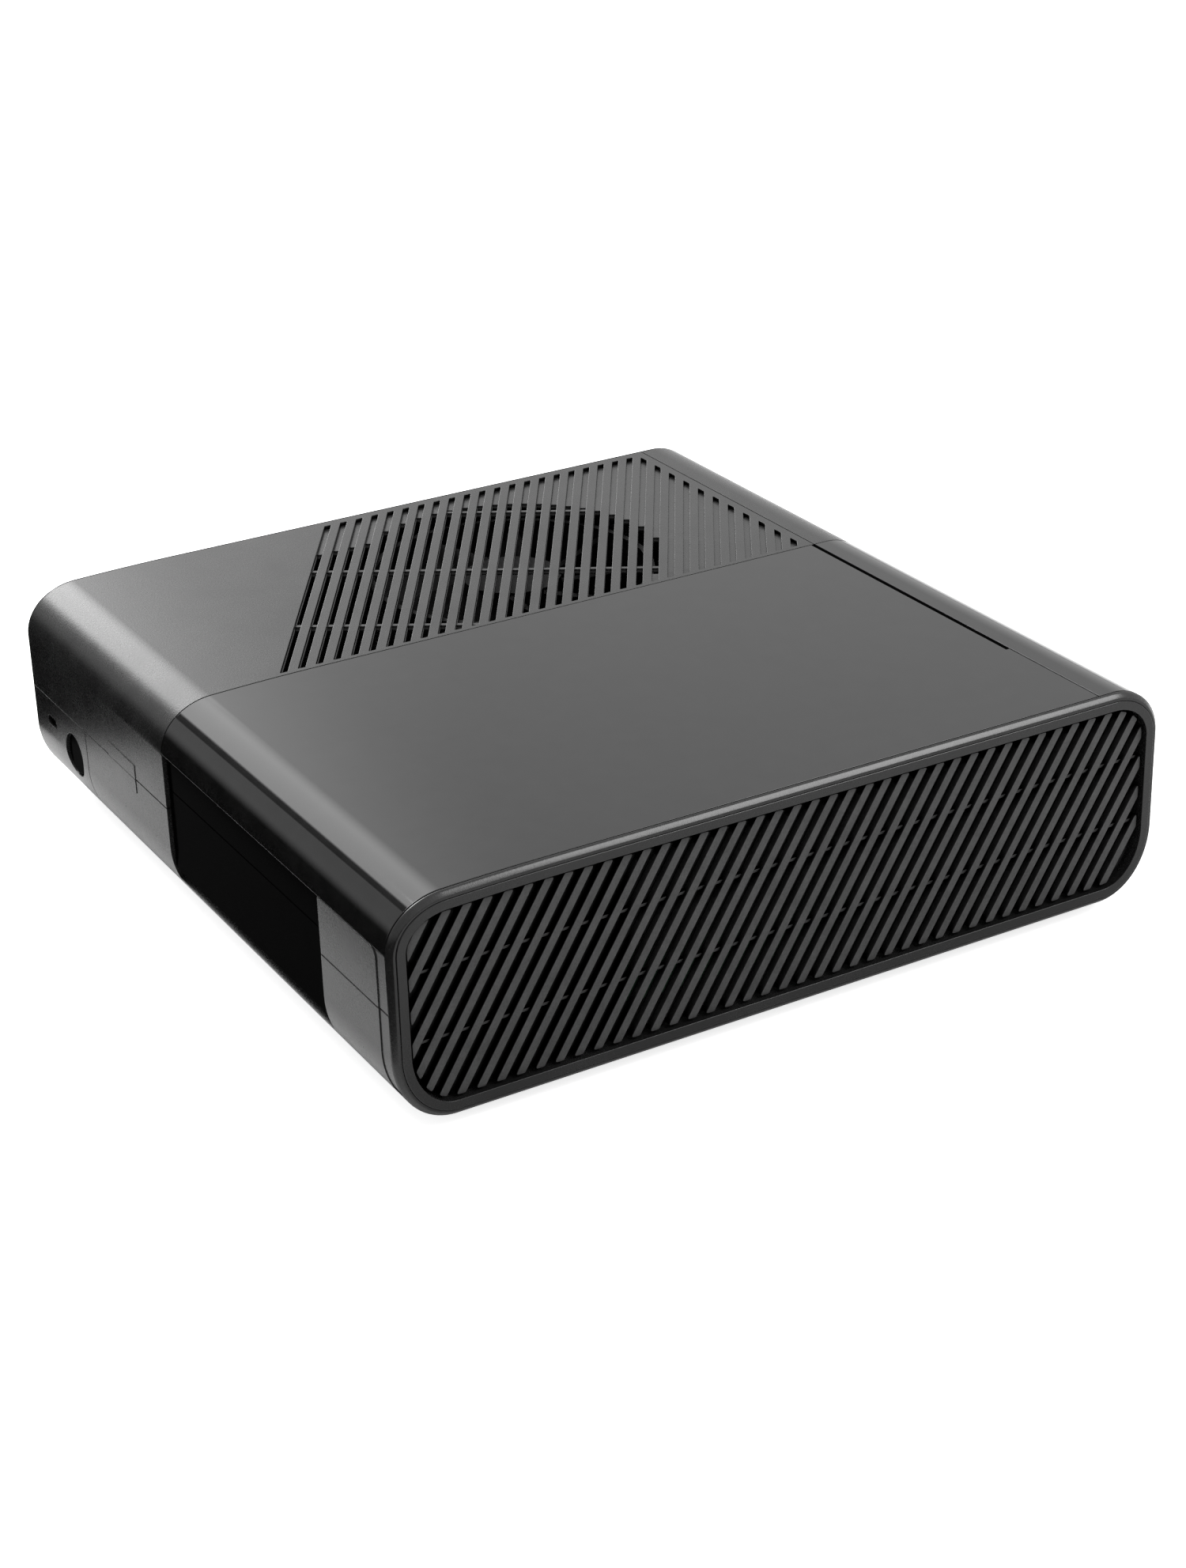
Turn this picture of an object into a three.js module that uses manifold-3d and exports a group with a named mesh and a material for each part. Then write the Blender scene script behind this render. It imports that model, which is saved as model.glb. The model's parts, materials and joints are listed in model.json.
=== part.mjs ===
// A slim two-tone game console lying flat, with its casing, disc drive, fan, boards and ports.
// Millimetres. The origin is on the surface it stands on, under the middle of the body. +Z is up.
// -Y is the front with the buttons and the disc tray, +Y the back with the ports, +X the open ribbed end.
import * as THREE from "three";
import { mergeVertices } from "three/addons/utils/BufferGeometryUtils.js";
import Module from "manifold-3d";

const wasm = await Module();
wasm.setup();

// ---------------------------------------------------------------- driving dimensions
const LENGTH = 270; // X, over both end frames
const DEPTH = 264; // Y, front to back
const BODY = 71; // Z, casing alone
const FOOT = 4; // how far the feet lift the casing
const WALL = 3; // casing wall
const GAP = 0.35; // clearance between pieces that touch
const TOP_CORNER = { y: 18, z: 16.5 }; // elliptical edges along X
const CROWN = { start: 77, drop: 0.7 }; // the top falls a little from here to its front edge
const BOTTOM_CORNER = { y: 19, z: 23 };

const CASE_END = 132.3; // the casing halves stop here, and the end frames carry on
const SPLIT = FOOT + 36.5; // parting line of the casing halves
const SEAM = -19; // matte casing to its left, glossy cover to its right
const COVER = 1.5; // thickness of the glossy cover
const COVER_EDGE = FOOT + 55; // how far the cover reaches down the front
const REAR_GROOVE = 109.3; // groove along the back of the top

const FRONT = -DEPTH / 2;
const BACK = DEPTH / 2;
const TOP = FOOT + BODY;
const ROOF = TOP - WALL; // inner face of the top
const FLOOR = FOOT + WALL; // inner face of the bottom

const BAY = { left: -18.5, right: 91, low: FOOT + 11.7 }; // front opening of the casing
const BAY_MIDDLE = (BAY.left + BAY.right) / 2;

const SLANT = THREE.MathUtils.degToRad(32); // slots and ribs all lean by this much
const SLOT = { pitch: 6.155, width: 2.2, depth: 1.2, count: 32, right: -21, left: -129, rear: 106 };
const SLOT_FIRST = 104.9; // where the first slot meets the line X = -25
const RIB = { pitch: 6.26, channel: 3.5, depth: 2.1, count: 41 };
const RIB_FIRST = -119.9; // centre of the first channel at RIB_LEVEL
const RIB_LEVEL = FOOT + 38.3;
const RIB_BARS = [FOOT + 25.4, FOOT + 47]; // cross-bars that tie the ribs together
const RIB_OPEN_FROM = -57; // channels nearer the front than this are closed at the back

const FAN = { x: -69, y: 19, radius: 46 };
const POWER_BUTTON = { x: -99, z: FOOT + 23, radius: 7.3 };
const PAIR_BUTTON = { x: -118, z: FOOT + 28, width: 7, height: 2.7 };
const BUTTON_PANEL = { right: -86.5, back: -113 };

const TRAY = { width: 104, low: FOOT + 46, thick: 6, length: 150, front: FRONT + 4 };
const DISC = { radius: 60.5, y: FRONT + 74 };
const GEAR = { teeth: 16, module: 1, y: FRONT + 24 };

// ---------------------------------------------------------------- materials
const finish = (color, roughness, metalness = 0) => ({ color, roughness, metalness });
const MATTE = finish(0x35363a, 0.55);
const GLOSS = finish(0x08080a, 0.08);
const FRAME = finish(0x232427, 0.4);
const RIBS = finish(0x2a2b2e, 0.6);
const RUBBER = finish(0x151515, 0.9);
const STEEL = finish(0x6d6f72, 0.4, 0.9);
const DARK_STEEL = finish(0x1c1d1f, 0.5, 0.8);
const BOARD = finish(0x12351f, 0.6);
const CHIP = finish(0x111214, 0.4);
const ALUMINIUM = finish(0xa5a8ab, 0.35, 0.9);
const INNER_PLASTIC = finish(0x18191b, 0.6);
const PALE_PLASTIC = finish(0xb9b7ae, 0.5);
const SOCKET = finish(0x0d0d0e, 0.6);

// ---------------------------------------------------------------- solids
/** A closed three.js geometry as a manifold solid. */
function solid(geometry) {
  geometry.deleteAttribute("normal");
  geometry.deleteAttribute("uv");
  const merged = mergeVertices(geometry, 1e-4);
  return new wasm.Manifold(
    new wasm.Mesh({
      numProp: 3,
      vertProperties: merged.attributes.position.array,
      triVerts: new Uint32Array(merged.index.array),
    }),
  );
}

const join = (first, ...rest) => rest.reduce((a, b) => a.add(b), first);
const cut = (first, ...rest) => rest.reduce((a, b) => a.subtract(b), first);

function box(x0, x1, y0, y1, z0, z1) {
  const g = new THREE.BoxGeometry(x1 - x0, y1 - y0, z1 - z0);
  return solid(g.translate((x0 + x1) / 2, (y0 + y1) / 2, (z0 + z1) / 2));
}

/** Extrusion along X of a shape drawn in (Y, Z). A bevel chamfers both ends inside that length. */
function alongX(shape, x0, x1, curveSegments = 4, bevel = 0) {
  const g = new THREE.ExtrudeGeometry(shape, {
    depth: x1 - x0 - 2 * bevel,
    curveSegments,
    bevelEnabled: bevel > 0,
    bevelThickness: bevel,
    bevelSize: bevel,
    bevelOffset: -bevel,
    bevelSegments: 1,
  });
  const turn = new THREE.Matrix4().makeBasis(
    new THREE.Vector3(0, 1, 0),
    new THREE.Vector3(0, 0, 1),
    new THREE.Vector3(1, 0, 0),
  );
  return solid(g.applyMatrix4(turn).translate(x0 + bevel, 0, 0));
}

/** Extrusion along Y of a shape drawn in (X, Z). */
function alongY(shape, y0, y1, curveSegments = 6) {
  const g = new THREE.ExtrudeGeometry(shape, { depth: y1 - y0, curveSegments, bevelEnabled: false });
  return solid(g.rotateX(Math.PI / 2).translate(0, y1, 0));
}

/** Extrusion along Z of a shape drawn in (X, Y). */
function alongZ(shape, z0, z1, curveSegments = 6) {
  const g = new THREE.ExtrudeGeometry(shape, { depth: z1 - z0, curveSegments, bevelEnabled: false });
  return solid(g.translate(0, 0, z0));
}

function rounded(u0, u1, v0, v1, r) {
  const s = new THREE.Shape();
  s.absarc(u1 - r, v0 + r, r, -Math.PI / 2, 0);
  s.absarc(u1 - r, v1 - r, r, 0, Math.PI / 2);
  s.absarc(u0 + r, v1 - r, r, Math.PI / 2, Math.PI);
  s.absarc(u0 + r, v0 + r, r, Math.PI, 1.5 * Math.PI);
  return s;
}

function polygon(points) {
  return new THREE.Shape(points.map(([u, v]) => new THREE.Vector2(u, v)));
}

function circle(u, v, r) {
  return new THREE.Shape().absarc(u, v, r, 0, 2 * Math.PI);
}

const discZ = (x, y, r, z0, z1, segments = 6) => alongZ(circle(x, y, r), z0, z1, segments);
const discY = (x, z, r, y0, y1, segments = 6) => alongY(circle(x, z, r), y0, y1, segments);

/** Ring around a vertical axis at (x, y). */
function ringZ(x, y, inner, outer, z0, z1, segments = 32) {
  const profile = [
    [inner, z0],
    [outer, z0],
    [outer, z1],
    [inner, z1],
    [inner, z0],
  ].map(([r, z]) => new THREE.Vector2(r, z));
  const g = new THREE.LatheGeometry(profile, segments);
  return solid(g.rotateX(Math.PI / 2).translate(x, y, 0));
}

/** Half axes of the front top edge, and the angle where it takes over from the crown without a kink. */
function frontCorner() {
  const [y, z] = [TOP_CORNER.y, TOP_CORNER.z - CROWN.drop];
  const slope = (2 * CROWN.drop) / (DEPTH / 2 - y - CROWN.start);
  const from = Math.atan((slope * y) / z);
  return { y: y / (1 - Math.sin(from)), z: z / Math.cos(from), from };
}

/** Cross-section of the casing in (Y, Z), pulled in from its outer skin by `inset`. */
function section(inset) {
  const front = frontCorner();
  const flat = DEPTH / 2 - TOP_CORNER.y;
  const y = DEPTH / 2 - inset;
  const [low, high] = [FOOT + inset, TOP - inset];
  const [ty, tz] = [TOP_CORNER.y - inset, TOP_CORNER.z - inset];
  const [by, bz] = [BOTTOM_CORNER.y - inset, BOTTOM_CORNER.z - inset];
  const s = new THREE.Shape();
  s.absellipse(y - by, low + bz, by, bz, -Math.PI / 2, 0);
  s.absellipse(y - ty, high - tz, ty, tz, 0, Math.PI / 2);
  s.lineTo(-CROWN.start, high);
  s.quadraticCurveTo(-(CROWN.start + flat) / 2, high, -flat, high - CROWN.drop);
  const [fy, fz] = [front.y - inset, front.z - inset];
  s.absellipse(-y + fy, TOP - TOP_CORNER.z, fy, fz, Math.PI / 2 + front.from, Math.PI);
  s.absellipse(-y + by, low + bz, by, bz, Math.PI, 1.5 * Math.PI);
  return s;
}

/** A sleeve of the casing's cross-section between two insets. */
function sleeve(outer, inner, x0, x1) {
  return cut(alongX(section(outer), x0, x1), alongX(section(inner), x0 - 1, x1 + 1));
}

// ---------------------------------------------------------------- assembly
const group = new THREE.Group();
const palette = new Map();

function add(name, body, look) {
  if (!palette.has(look)) palette.set(look, new THREE.MeshStandardMaterial({ ...look, flatShading: true }));
  const { numProp, vertProperties, triVerts } = body.getMesh();
  const positions = new Float32Array((vertProperties.length / numProp) * 3);
  for (let i = 0; i < positions.length / 3; i++) {
    positions.set(vertProperties.subarray(i * numProp, i * numProp + 3), i * 3);
  }
  const geometry = new THREE.BufferGeometry();
  geometry.setAttribute("position", new THREE.BufferAttribute(positions, 3));
  geometry.setIndex(new THREE.BufferAttribute(new Uint32Array(triVerts), 1));
  geometry.computeVertexNormals();
  const mesh = new THREE.Mesh(geometry, palette.get(look));
  mesh.name = name;
  group.add(mesh);
}

// ---------------------------------------------------------------- casing
/** A band that leans like the slots, `width` across. Its centre line meets X = xLine at the given y. */
function slantedBand(xLine, y, width, x0, x1, z0, z1) {
  const half = width / 2 / Math.cos(SLANT);
  const at = (x) => y - (x - xLine) * Math.tan(SLANT);
  return alongZ(
    polygon([
      [x0, at(x0) - half],
      [x1, at(x1) - half],
      [x1, at(x1) + half],
      [x0, at(x0) + half],
    ]),
    z0,
    z1,
  );
}

/** The slots of the top vent, as one cutter between two heights, kept to the given outline. */
function ventSlots(outline, z0, z1) {
  let slots = null;
  for (let i = 0; i < SLOT.count; i++) {
    const band = slantedBand(-25, SLOT_FIRST - i * SLOT.pitch, SLOT.width, SLOT.left, SLOT.right, z0, z1);
    slots = slots ? slots.add(band) : band;
  }
  return slots.intersect(alongZ(outline, z0 - 1, z1 + 1, 16));
}

function upperShell() {
  const end = REAR_GROOVE - GAP / 2;
  const skin = sleeve(0, WALL, -CASE_END, CASE_END);
  const keep = box(-CASE_END - 1, CASE_END + 1, FRONT - 1, end, SPLIT + GAP / 2, TOP + 1);
  const underCover = sleeve(-1, COVER + GAP, SEAM - GAP / 2, CASE_END + 1).intersect(
    box(SEAM - 1, CASE_END + 2, FRONT - 2, BACK, COVER_EDGE - GAP, TOP + 2),
  );
  const bay = box(BAY.left, BAY.right, FRONT - 1, FRONT + 12, FOOT, COVER_EDGE + 4);
  const step = box(127, CASE_END + 1, FRONT - 1, FRONT + 1, FOOT, COVER_EDGE);
  const field = rounded(SLOT.left, SLOT.right, -95, SLOT.rear, 0.5);
  const open = circle(FAN.x, FAN.y, FAN.radius + 6);
  const corner = polygon([
    [-108, 0],
    [SLOT.right, 0],
    [SLOT.right, -95],
    [-108, -95],
  ]);
  return cut(
    skin.intersect(keep),
    underCover,
    bay,
    step,
    ventSlots(field, TOP - SLOT.depth, TOP + 1),
    ventSlots(open, ROOF - 1, TOP + 1),
    ventSlots(corner, ROOF - 1, TOP + 1),
    seamWindow(GAP),
  );
}

/** The shallow rectangular insert that sits across the parting line. */
function seamWindow(gap) {
  return alongY(
    rounded(-65.6 - gap, -43.3 + gap, FOOT + 31.5 - gap, FOOT + 41.5 + gap, 1 + gap),
    FRONT - 0.2 - gap,
    FRONT + 0.8 + gap,
    2,
  );
}

function glossCover() {
  const skin = sleeve(0, COVER, SEAM + GAP / 2, CASE_END);
  const keep = box(SEAM - 1, CASE_END + 1, FRONT - 1, REAR_GROOVE - GAP / 2, COVER_EDGE, TOP + 1);
  const wideGroove = box(SEAM - 1, 89, REAR_GROOVE - 1.2, REAR_GROOVE + 1, TOP - 4, TOP + 1);
  return cut(skin.intersect(keep), wideGroove);
}

function rearStrip(x0, x1) {
  const keep = box(x0, x1, REAR_GROOVE + GAP / 2, BACK + 1, SPLIT + GAP / 2, TOP + 1);
  return sleeve(0, WALL, x0 - 1, x1 + 1).intersect(keep);
}

const FEET = [
  ["foot_front_left", -106, -98],
  ["foot_front_right", 106, -98],
  ["foot_rear_left", -106, 98],
  ["foot_rear_right", 106, 98],
];
const SCREWS = [
  ["case_screw_front_left", -118, -70],
  ["case_screw_front_right", 118, -70],
  ["case_screw_rear_left", -118, 70],
  ["case_screw_rear_right", 118, 70],
];
const PORTS = [
  { name: "power_inlet", x: -99, z: 26, width: 17, height: 14 },
  { name: "audio_video_port", x: -72, z: 24, width: 20, height: 8 },
  { name: "video_port", x: -46, z: 24, width: 15, height: 5.6 },
  { name: "network_port", x: -21, z: 26, width: 12.5, height: 9 },
  { name: "usb_port_upper", x: 5, z: 31, width: 12.6, height: 5.2 },
  { name: "usb_port_lower", x: 5, z: 21, width: 12.6, height: 5.2 },
];
const PORT_PANEL = { x0: -116, x1: 22, z0: 14, z1: 37.5 };

function lowerShell() {
  const skin = sleeve(0, WALL, -CASE_END, CASE_END);
  const keep = box(-CASE_END - 1, CASE_END + 1, FRONT - 1, BACK + 1, 0, SPLIT - GAP / 2);
  const bay = box(BAY.left, BAY.right, FRONT - 1, FRONT + 12, BAY.low, SPLIT + 1);
  const step = box(127, CASE_END + 1, FRONT - 1, FRONT + 1, FOOT + 10, SPLIT + 1);
  const panel = box(-140, BUTTON_PANEL.right + GAP / 2, FRONT - 1, BUTTON_PANEL.back + GAP / 2, 0, SPLIT + 1);
  const ports = alongY(
    rounded(PORT_PANEL.x0 - GAP, PORT_PANEL.x1 + GAP, PORT_PANEL.z0 - GAP, PORT_PANEL.z1 + GAP, 2),
    BACK - 22,
    BACK + 1,
    3,
  );
  const pockets = FEET.map(([, x, y]) => footPad(x, y, GAP, FOOT - 1, FOOT + 1.2));
  const holes = SCREWS.flatMap(([, x, y]) => [
    discZ(x, y, 2.2, FOOT - 1, FLOOR + 1, 5),
    discZ(x, y, 4.2, FOOT - 1, FOOT + 1.4, 5),
  ]);
  return cut(skin.intersect(keep), bay, step, panel, ports, seamWindow(GAP), ...pockets, ...holes);
}

function footPad(x, y, grow, z0, z1) {
  return alongZ(rounded(x - 14 - grow, x + 14 + grow, y - 6 - grow, y + 6 + grow, 5.9 + grow), z0, z1, 2);
}

function caseScrew(x, y) {
  const head = discZ(x, y, 3.7, FOOT + 0.3, FOOT + 1.2, 5);
  const socket = discZ(x, y, 1.6, FOOT, FOOT + 0.8, 3);
  return cut(join(head, discZ(x, y, 1.6, FOOT + 1, FLOOR + 0.1, 4)), socket);
}

function buttonPanel() {
  const [right, back] = [BUTTON_PANEL.right - GAP / 2, BUTTON_PANEL.back - GAP / 2];
  const keep = box(-CASE_END, right, FRONT - 1, back, 0, SPLIT - GAP / 2);
  return cut(
    sleeve(0, WALL, -CASE_END, BUTTON_PANEL.right).intersect(keep),
    discY(POWER_BUTTON.x, POWER_BUTTON.z, POWER_BUTTON.radius + GAP, FRONT - 1, FRONT + 12, 10),
    alongY(pairOutline(GAP), FRONT - 1, FRONT + 12, 4),
  );
}

function pairOutline(grow) {
  const { x, z, width, height } = PAIR_BUTTON;
  const [w, h] = [width / 2 + grow, height / 2 + grow];
  return rounded(x - w, x + w, z - h, z + h, h - 0.01);
}

add("lower_shell", lowerShell(), MATTE);
add("upper_shell", upperShell(), MATTE);
add("gloss_cover", glossCover(), GLOSS);
add("rear_strip_matte", rearStrip(-CASE_END, SEAM - GAP / 2), MATTE);
add("rear_strip_gloss", rearStrip(SEAM + GAP / 2, CASE_END), GLOSS);
add("button_panel", buttonPanel(), MATTE);
add("seam_window", seamWindow(0), MATTE);
for (const [name, x, y] of FEET) add(name, footPad(x, y, 0, 0, FOOT + 1), RUBBER);
for (const [name, x, y] of SCREWS) add(name, caseScrew(x, y), STEEL);

// ---------------------------------------------------------------- buttons
const BUTTON_FACE = FRONT + 1; // set back a little inside its hole
const FLANGE = FRONT + 5; // keeps the buttons from falling out
const SWITCH_FACE = FRONT + 9.5;

function powerButton() {
  const { x, z, radius } = POWER_BUTTON;
  return join(
    discY(x, z, radius - 0.2, BUTTON_FACE, FLANGE + 0.2, 10),
    discY(x, z, radius + 1.4, FLANGE, FLANGE + 1, 6),
    discY(x, z, 2, FLANGE + 0.8, SWITCH_FACE - 1.6, 4),
  );
}

function pairingButton() {
  const { x, z } = PAIR_BUTTON;
  return join(
    alongY(pairOutline(-0.15), FRONT + 0.6, FLANGE + 0.2, 4),
    alongY(pairOutline(1.2), FLANGE, FLANGE + 1, 3),
    discY(x, z, 1.2, FLANGE + 0.8, SWITCH_FACE - 1.2, 4),
  );
}

function buttonBoard() {
  return join(
    box(-127, -89, SWITCH_FACE + 1.2, SWITCH_FACE + 2.8, FOOT + 14, SPLIT + 4),
    discY(POWER_BUTTON.x, POWER_BUTTON.z, 2.6, SWITCH_FACE, SWITCH_FACE + 1.4, 4),
    discY(PAIR_BUTTON.x, PAIR_BUTTON.z, 2.6, SWITCH_FACE, SWITCH_FACE + 1.4, 4),
  );
}

add("power_button", powerButton(), GLOSS);
add("pairing_button", pairingButton(), GLOSS);
add("button_board", buttonBoard(), BOARD);

// ---------------------------------------------------------------- front of the disc bay
const BEZEL = { low: FOOT + 43.5, high: COVER_EDGE - 0.4, back: FRONT + 3.6 };
const FASCIA_FACE = FRONT + 1.3; // set back behind the casing

function frontFascia() {
  const [x0, x1] = [BAY.left + GAP, BAY.right - GAP];
  const plate = box(x0, x1, FASCIA_FACE, FRONT + 3.3, FOOT + 16, BEZEL.low - GAP);
  const skirt = box(x0, x1, FRONT + 6.2, FRONT + 7.7, BAY.low + 0.6, FOOT + 22);
  const shelf = box(x0, x1, FRONT + 3, FRONT + 7.7, FOOT + 20.5, FOOT + 22);
  return join(plate, skirt, shelf);
}

function trayBezel() {
  const plate = box(BAY.left + GAP, BAY.right - GAP, FASCIA_FACE, BEZEL.back, BEZEL.low, BEZEL.high);
  const undercut = box(BAY.left - 1, BAY.right + 1, FRONT + 2.6, FRONT + 9, BEZEL.high - 2.2, BEZEL.high + 1);
  return cut(plate, undercut);
}

/** The tray's right edge carries a rack that the loading gear drives. */
function discTray() {
  const { width, low, thick, length, front } = TRAY;
  const [x0, x1] = [BAY_MIDDLE - width / 2, BAY_MIDDLE + width / 2];
  const step = Math.PI * GEAR.module;
  const outline = [
    [x0, front + length],
    [x0, front],
    [x1, front],
    [x1, front + length],
  ];
  const teeth = [];
  for (let y = GEAR.y - 2 * step; y < front + length - step; y += step) {
    teeth.push([
      [x1 - 0.2, y - 0.3 * step],
      [x1 + 1.5, y - 0.12 * step],
      [x1 + 1.5, y + 0.12 * step],
      [x1 - 0.2, y + 0.3 * step],
    ]);
  }
  const plate = alongZ(polygon(outline), low, low + thick);
  const rack = teeth.map((t) => alongZ(polygon(t), low + 0.4, low + thick - 0.8));
  const [left, right] = [BAY_MIDDLE - 15, BAY_MIDDLE + 15];
  const slot = box(left, right, DISC.y - 17, front + length + 1, low - 1, low + thick + 1);
  const well = discZ(BAY_MIDDLE, DISC.y, DISC.radius, low + thick - 1.6, low + thick + 1, 20);
  return cut(join(plate, ...rack), slot, well);
}

add("front_fascia", frontFascia(), GLOSS);
add("tray_bezel", trayBezel(), GLOSS);
add("disc_tray", discTray(), INNER_PLASTIC);

// ---------------------------------------------------------------- disc drive
const DRIVE = { x0: -19.5, x1: 109, y0: FRONT + 9.5, y1: FRONT + 178, z0: 27, z1: 67 };

function driveChassis() {
  const { x0, x1, y0, y1, z0, z1 } = DRIVE;
  const shell = box(x0, x1, y0, y1, z0, z1);
  const hollow = box(x0 + 1.2, x1 - 1.2, y0 - 1, y1 - 1.2, z0 + 1.2, z1 + 1);
  const gearPost = discZ(gearCentre, GEAR.y, 1.6, z0 + 1, TRAY.low + 5, 4);
  const guides = [x0 + 0.6, x1 - 3.1].map((x) => box(x, x + 2.5, y0 + 22, y1 - 20, z0 + 1, z1 - 18));
  return join(cut(shell, hollow), gearPost, ...guides);
}

const gearPitch = (GEAR.teeth * GEAR.module) / 2;
const gearCentre = BAY_MIDDLE + TRAY.width / 2 + 0.8 + gearPitch;

function loadingGear() {
  const points = [];
  const step = (2 * Math.PI) / GEAR.teeth;
  for (let i = 0; i < GEAR.teeth; i++) {
    for (const [turn, r] of [
      [-0.3, gearPitch - 0.95],
      [-0.12, gearPitch + 0.6],
      [0.12, gearPitch + 0.6],
      [0.3, gearPitch - 0.95],
    ]) {
      const a = (i + 0.5 + turn) * step;
      points.push([gearCentre + r * Math.cos(a), GEAR.y + r * Math.sin(a)]);
    }
  }
  const wheel = alongZ(polygon(points), TRAY.low + 0.4, TRAY.low + 4.4);
  const pulley = discZ(gearCentre, GEAR.y, 5.5, TRAY.low - 3, TRAY.low + 0.6, 6);
  return cut(join(wheel, pulley), discZ(gearCentre, GEAR.y, 1.9, TRAY.low - 4, TRAY.low + 6, 4));
}

function driveLid() {
  const { x0, x1, y0, y1, z1 } = DRIVE;
  const sheet = box(x0, x1, y0, y1, z1 + GAP, z1 + GAP + 1);
  const dish = ringZ(BAY_MIDDLE, DISC.y, 22, 58, z1 + GAP + 0.8, z1 + GAP + 1.6, 40);
  return join(sheet, dish);
}

const DECK = { x0: BAY_MIDDLE - 30, x1: BAY_MIDDLE + 30, y0: DISC.y - 17, y1: DISC.y + 92, z: 34.5 };

function laserDeck() {
  const { x0, x1, y0, y1, z } = DECK;
  const plate = box(x0, x1, y0, y1, z, z + 1.6);
  const window = box(BAY_MIDDLE - 13, BAY_MIDDLE + 13, DISC.y + 20, y1 - 14, z - 1, z + 3);
  const legs = [x0 + 3, x1 - 3].flatMap((x) =>
    [y0 + 4, y1 - 4].map((y) => discZ(x, y, 2.4, DRIVE.z0 + 1.5, z + 0.5, 4)),
  );
  const posts = [BAY_MIDDLE - 18, BAY_MIDDLE + 18].flatMap((x) =>
    [DISC.y + 16, y1 - 5].map((y) => box(x - 3, x + 3, y - 2, y + 2, z + 1, z + 5)),
  );
  return join(cut(plate, window), ...legs, ...posts);
}

function sledRail(dx) {
  return discY(BAY_MIDDLE + dx, DECK.z + 6.7, 1.3, DISC.y + 14, DECK.y1 - 3, 4);
}

function laserSled() {
  const [y0, y1] = [DISC.y + 21, DISC.y + 43];
  const z = DECK.z + 4.6;
  const block = box(BAY_MIDDLE - 13, BAY_MIDDLE + 13, y0, y1, z, z + 5);
  const sides = [BAY_MIDDLE - 18, BAY_MIDDLE + 18];
  const ears = sides.map((x) => box(x - 3, x + 3, y0 + 3, y1 - 3, z, z + 4.4));
  const arms = box(BAY_MIDDLE - 17, BAY_MIDDLE + 17, y0 + 4, y1 - 4, z + 0.4, z + 4);
  const bores = sides.map((x) => discY(x, DECK.z + 6.7, 1.7, y0 - 1, y1 + 1, 4));
  const lens = discZ(BAY_MIDDLE, y0 + 8, 3.5, z + 4.8, z + 6.2, 5);
  return join(cut(join(block, ...ears, arms), ...bores), lens);
}

function spindle() {
  const cone = new THREE.LatheGeometry(
    [
      [0, 0],
      [13, 0],
      [13, 2.4],
      [7.4, 2.4],
      [6.6, 5.6],
      [0, 6.4],
    ].map(([r, z]) => new THREE.Vector2(r, z)),
    24,
  );
  const low = TRAY.low - 4.4;
  return join(
    solid(cone.rotateX(Math.PI / 2).translate(BAY_MIDDLE, DISC.y, low)),
    discZ(BAY_MIDDLE, DISC.y, 1.5, low - 3, low + 1, 4),
  );
}

function spindleMotor() {
  const high = TRAY.low - 4.4 - GAP;
  const can = discZ(BAY_MIDDLE, DISC.y, 13, DECK.z + 1.6 + GAP, high, 8);
  return cut(can, discZ(BAY_MIDDLE, DISC.y, 1.9, DECK.z + 4, high + 1, 4));
}

function loadingMotor() {
  const [x, y] = [gearCentre, GEAR.y + 26];
  return join(
    discZ(x, y, 8, DRIVE.z0 + 1.6, DRIVE.z0 + 15, 6),
    discZ(x, y, 3, DRIVE.z0 + 14, TRAY.low + 0.4, 4),
  );
}

add("drive_chassis", driveChassis(), DARK_STEEL);
add("drive_lid", driveLid(), STEEL);
add("loading_gear", loadingGear(), PALE_PLASTIC);
add("loading_motor", loadingMotor(), STEEL);
add("laser_deck", laserDeck(), DARK_STEEL);
add("sled_rail_left", sledRail(-18), STEEL);
add("sled_rail_right", sledRail(18), STEEL);
add("laser_sled", laserSled(), INNER_PLASTIC);
add("spindle", spindle(), INNER_PLASTIC);
add("spindle_motor", spindleMotor(), STEEL);

// ---------------------------------------------------------------- boards, cooling and shields
const PCB = { x0: -122, x1: 122, y0: -60, y1: 124, z0: 14, z1: 15.6 };
const SHIELD = { x0: -126, x1: 126, y0: -108, y1: 108, z0: FLOOR + 0.5 };

function lowerShield() {
  const { x0, x1, y0, y1, z0 } = SHIELD;
  const inside = box(x0 + 0.8, x1 - 0.8, y0 + 0.8, y1 - 0.8, z0 + 0.8, z0 + 6);
  const tray = cut(box(x0, x1, y0, y1, z0, z0 + 5), inside);
  const posts = [-116, -20, 60, 116].flatMap((x) =>
    [-50, 96].map((y) => discZ(x, y, 3, z0 + 0.5, PCB.z0 - GAP, 4)),
  );
  const holes = SCREWS.map(([, x, y]) => discZ(x, y, 3, z0 - 1, z0 + 2, 4));
  return cut(join(tray, ...posts), ...holes);
}

/** A bridge that carries the disc drive above the mainboard, on a front wall and two rear pillars. */
const BRIDGE = { x0: -33, x1: 112, y0: -104, y1: 100, pillars: [10, 90] };

function upperShield() {
  const { x0, x1, y0, y1, pillars } = BRIDGE;
  const [z0, z1] = [SHIELD.z0 + 0.8 + GAP, DRIVE.z0 - GAP];
  const deck = box(x0, x1, y0, y1, z1 - 1, z1);
  const wall = box(x0, x1, y0, y0 + 1.2, z0, z1 - 0.5);
  const posts = pillars.map((x) => discZ(x, y1 - 8, 3, z0, z1 - 0.5, 4));
  const windows = [-10, 30, 70].map((x) => box(x, x + 22, -40, 40, z1 - 2, z1 + 1));
  return cut(join(deck, wall, ...posts), ...windows);
}

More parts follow.
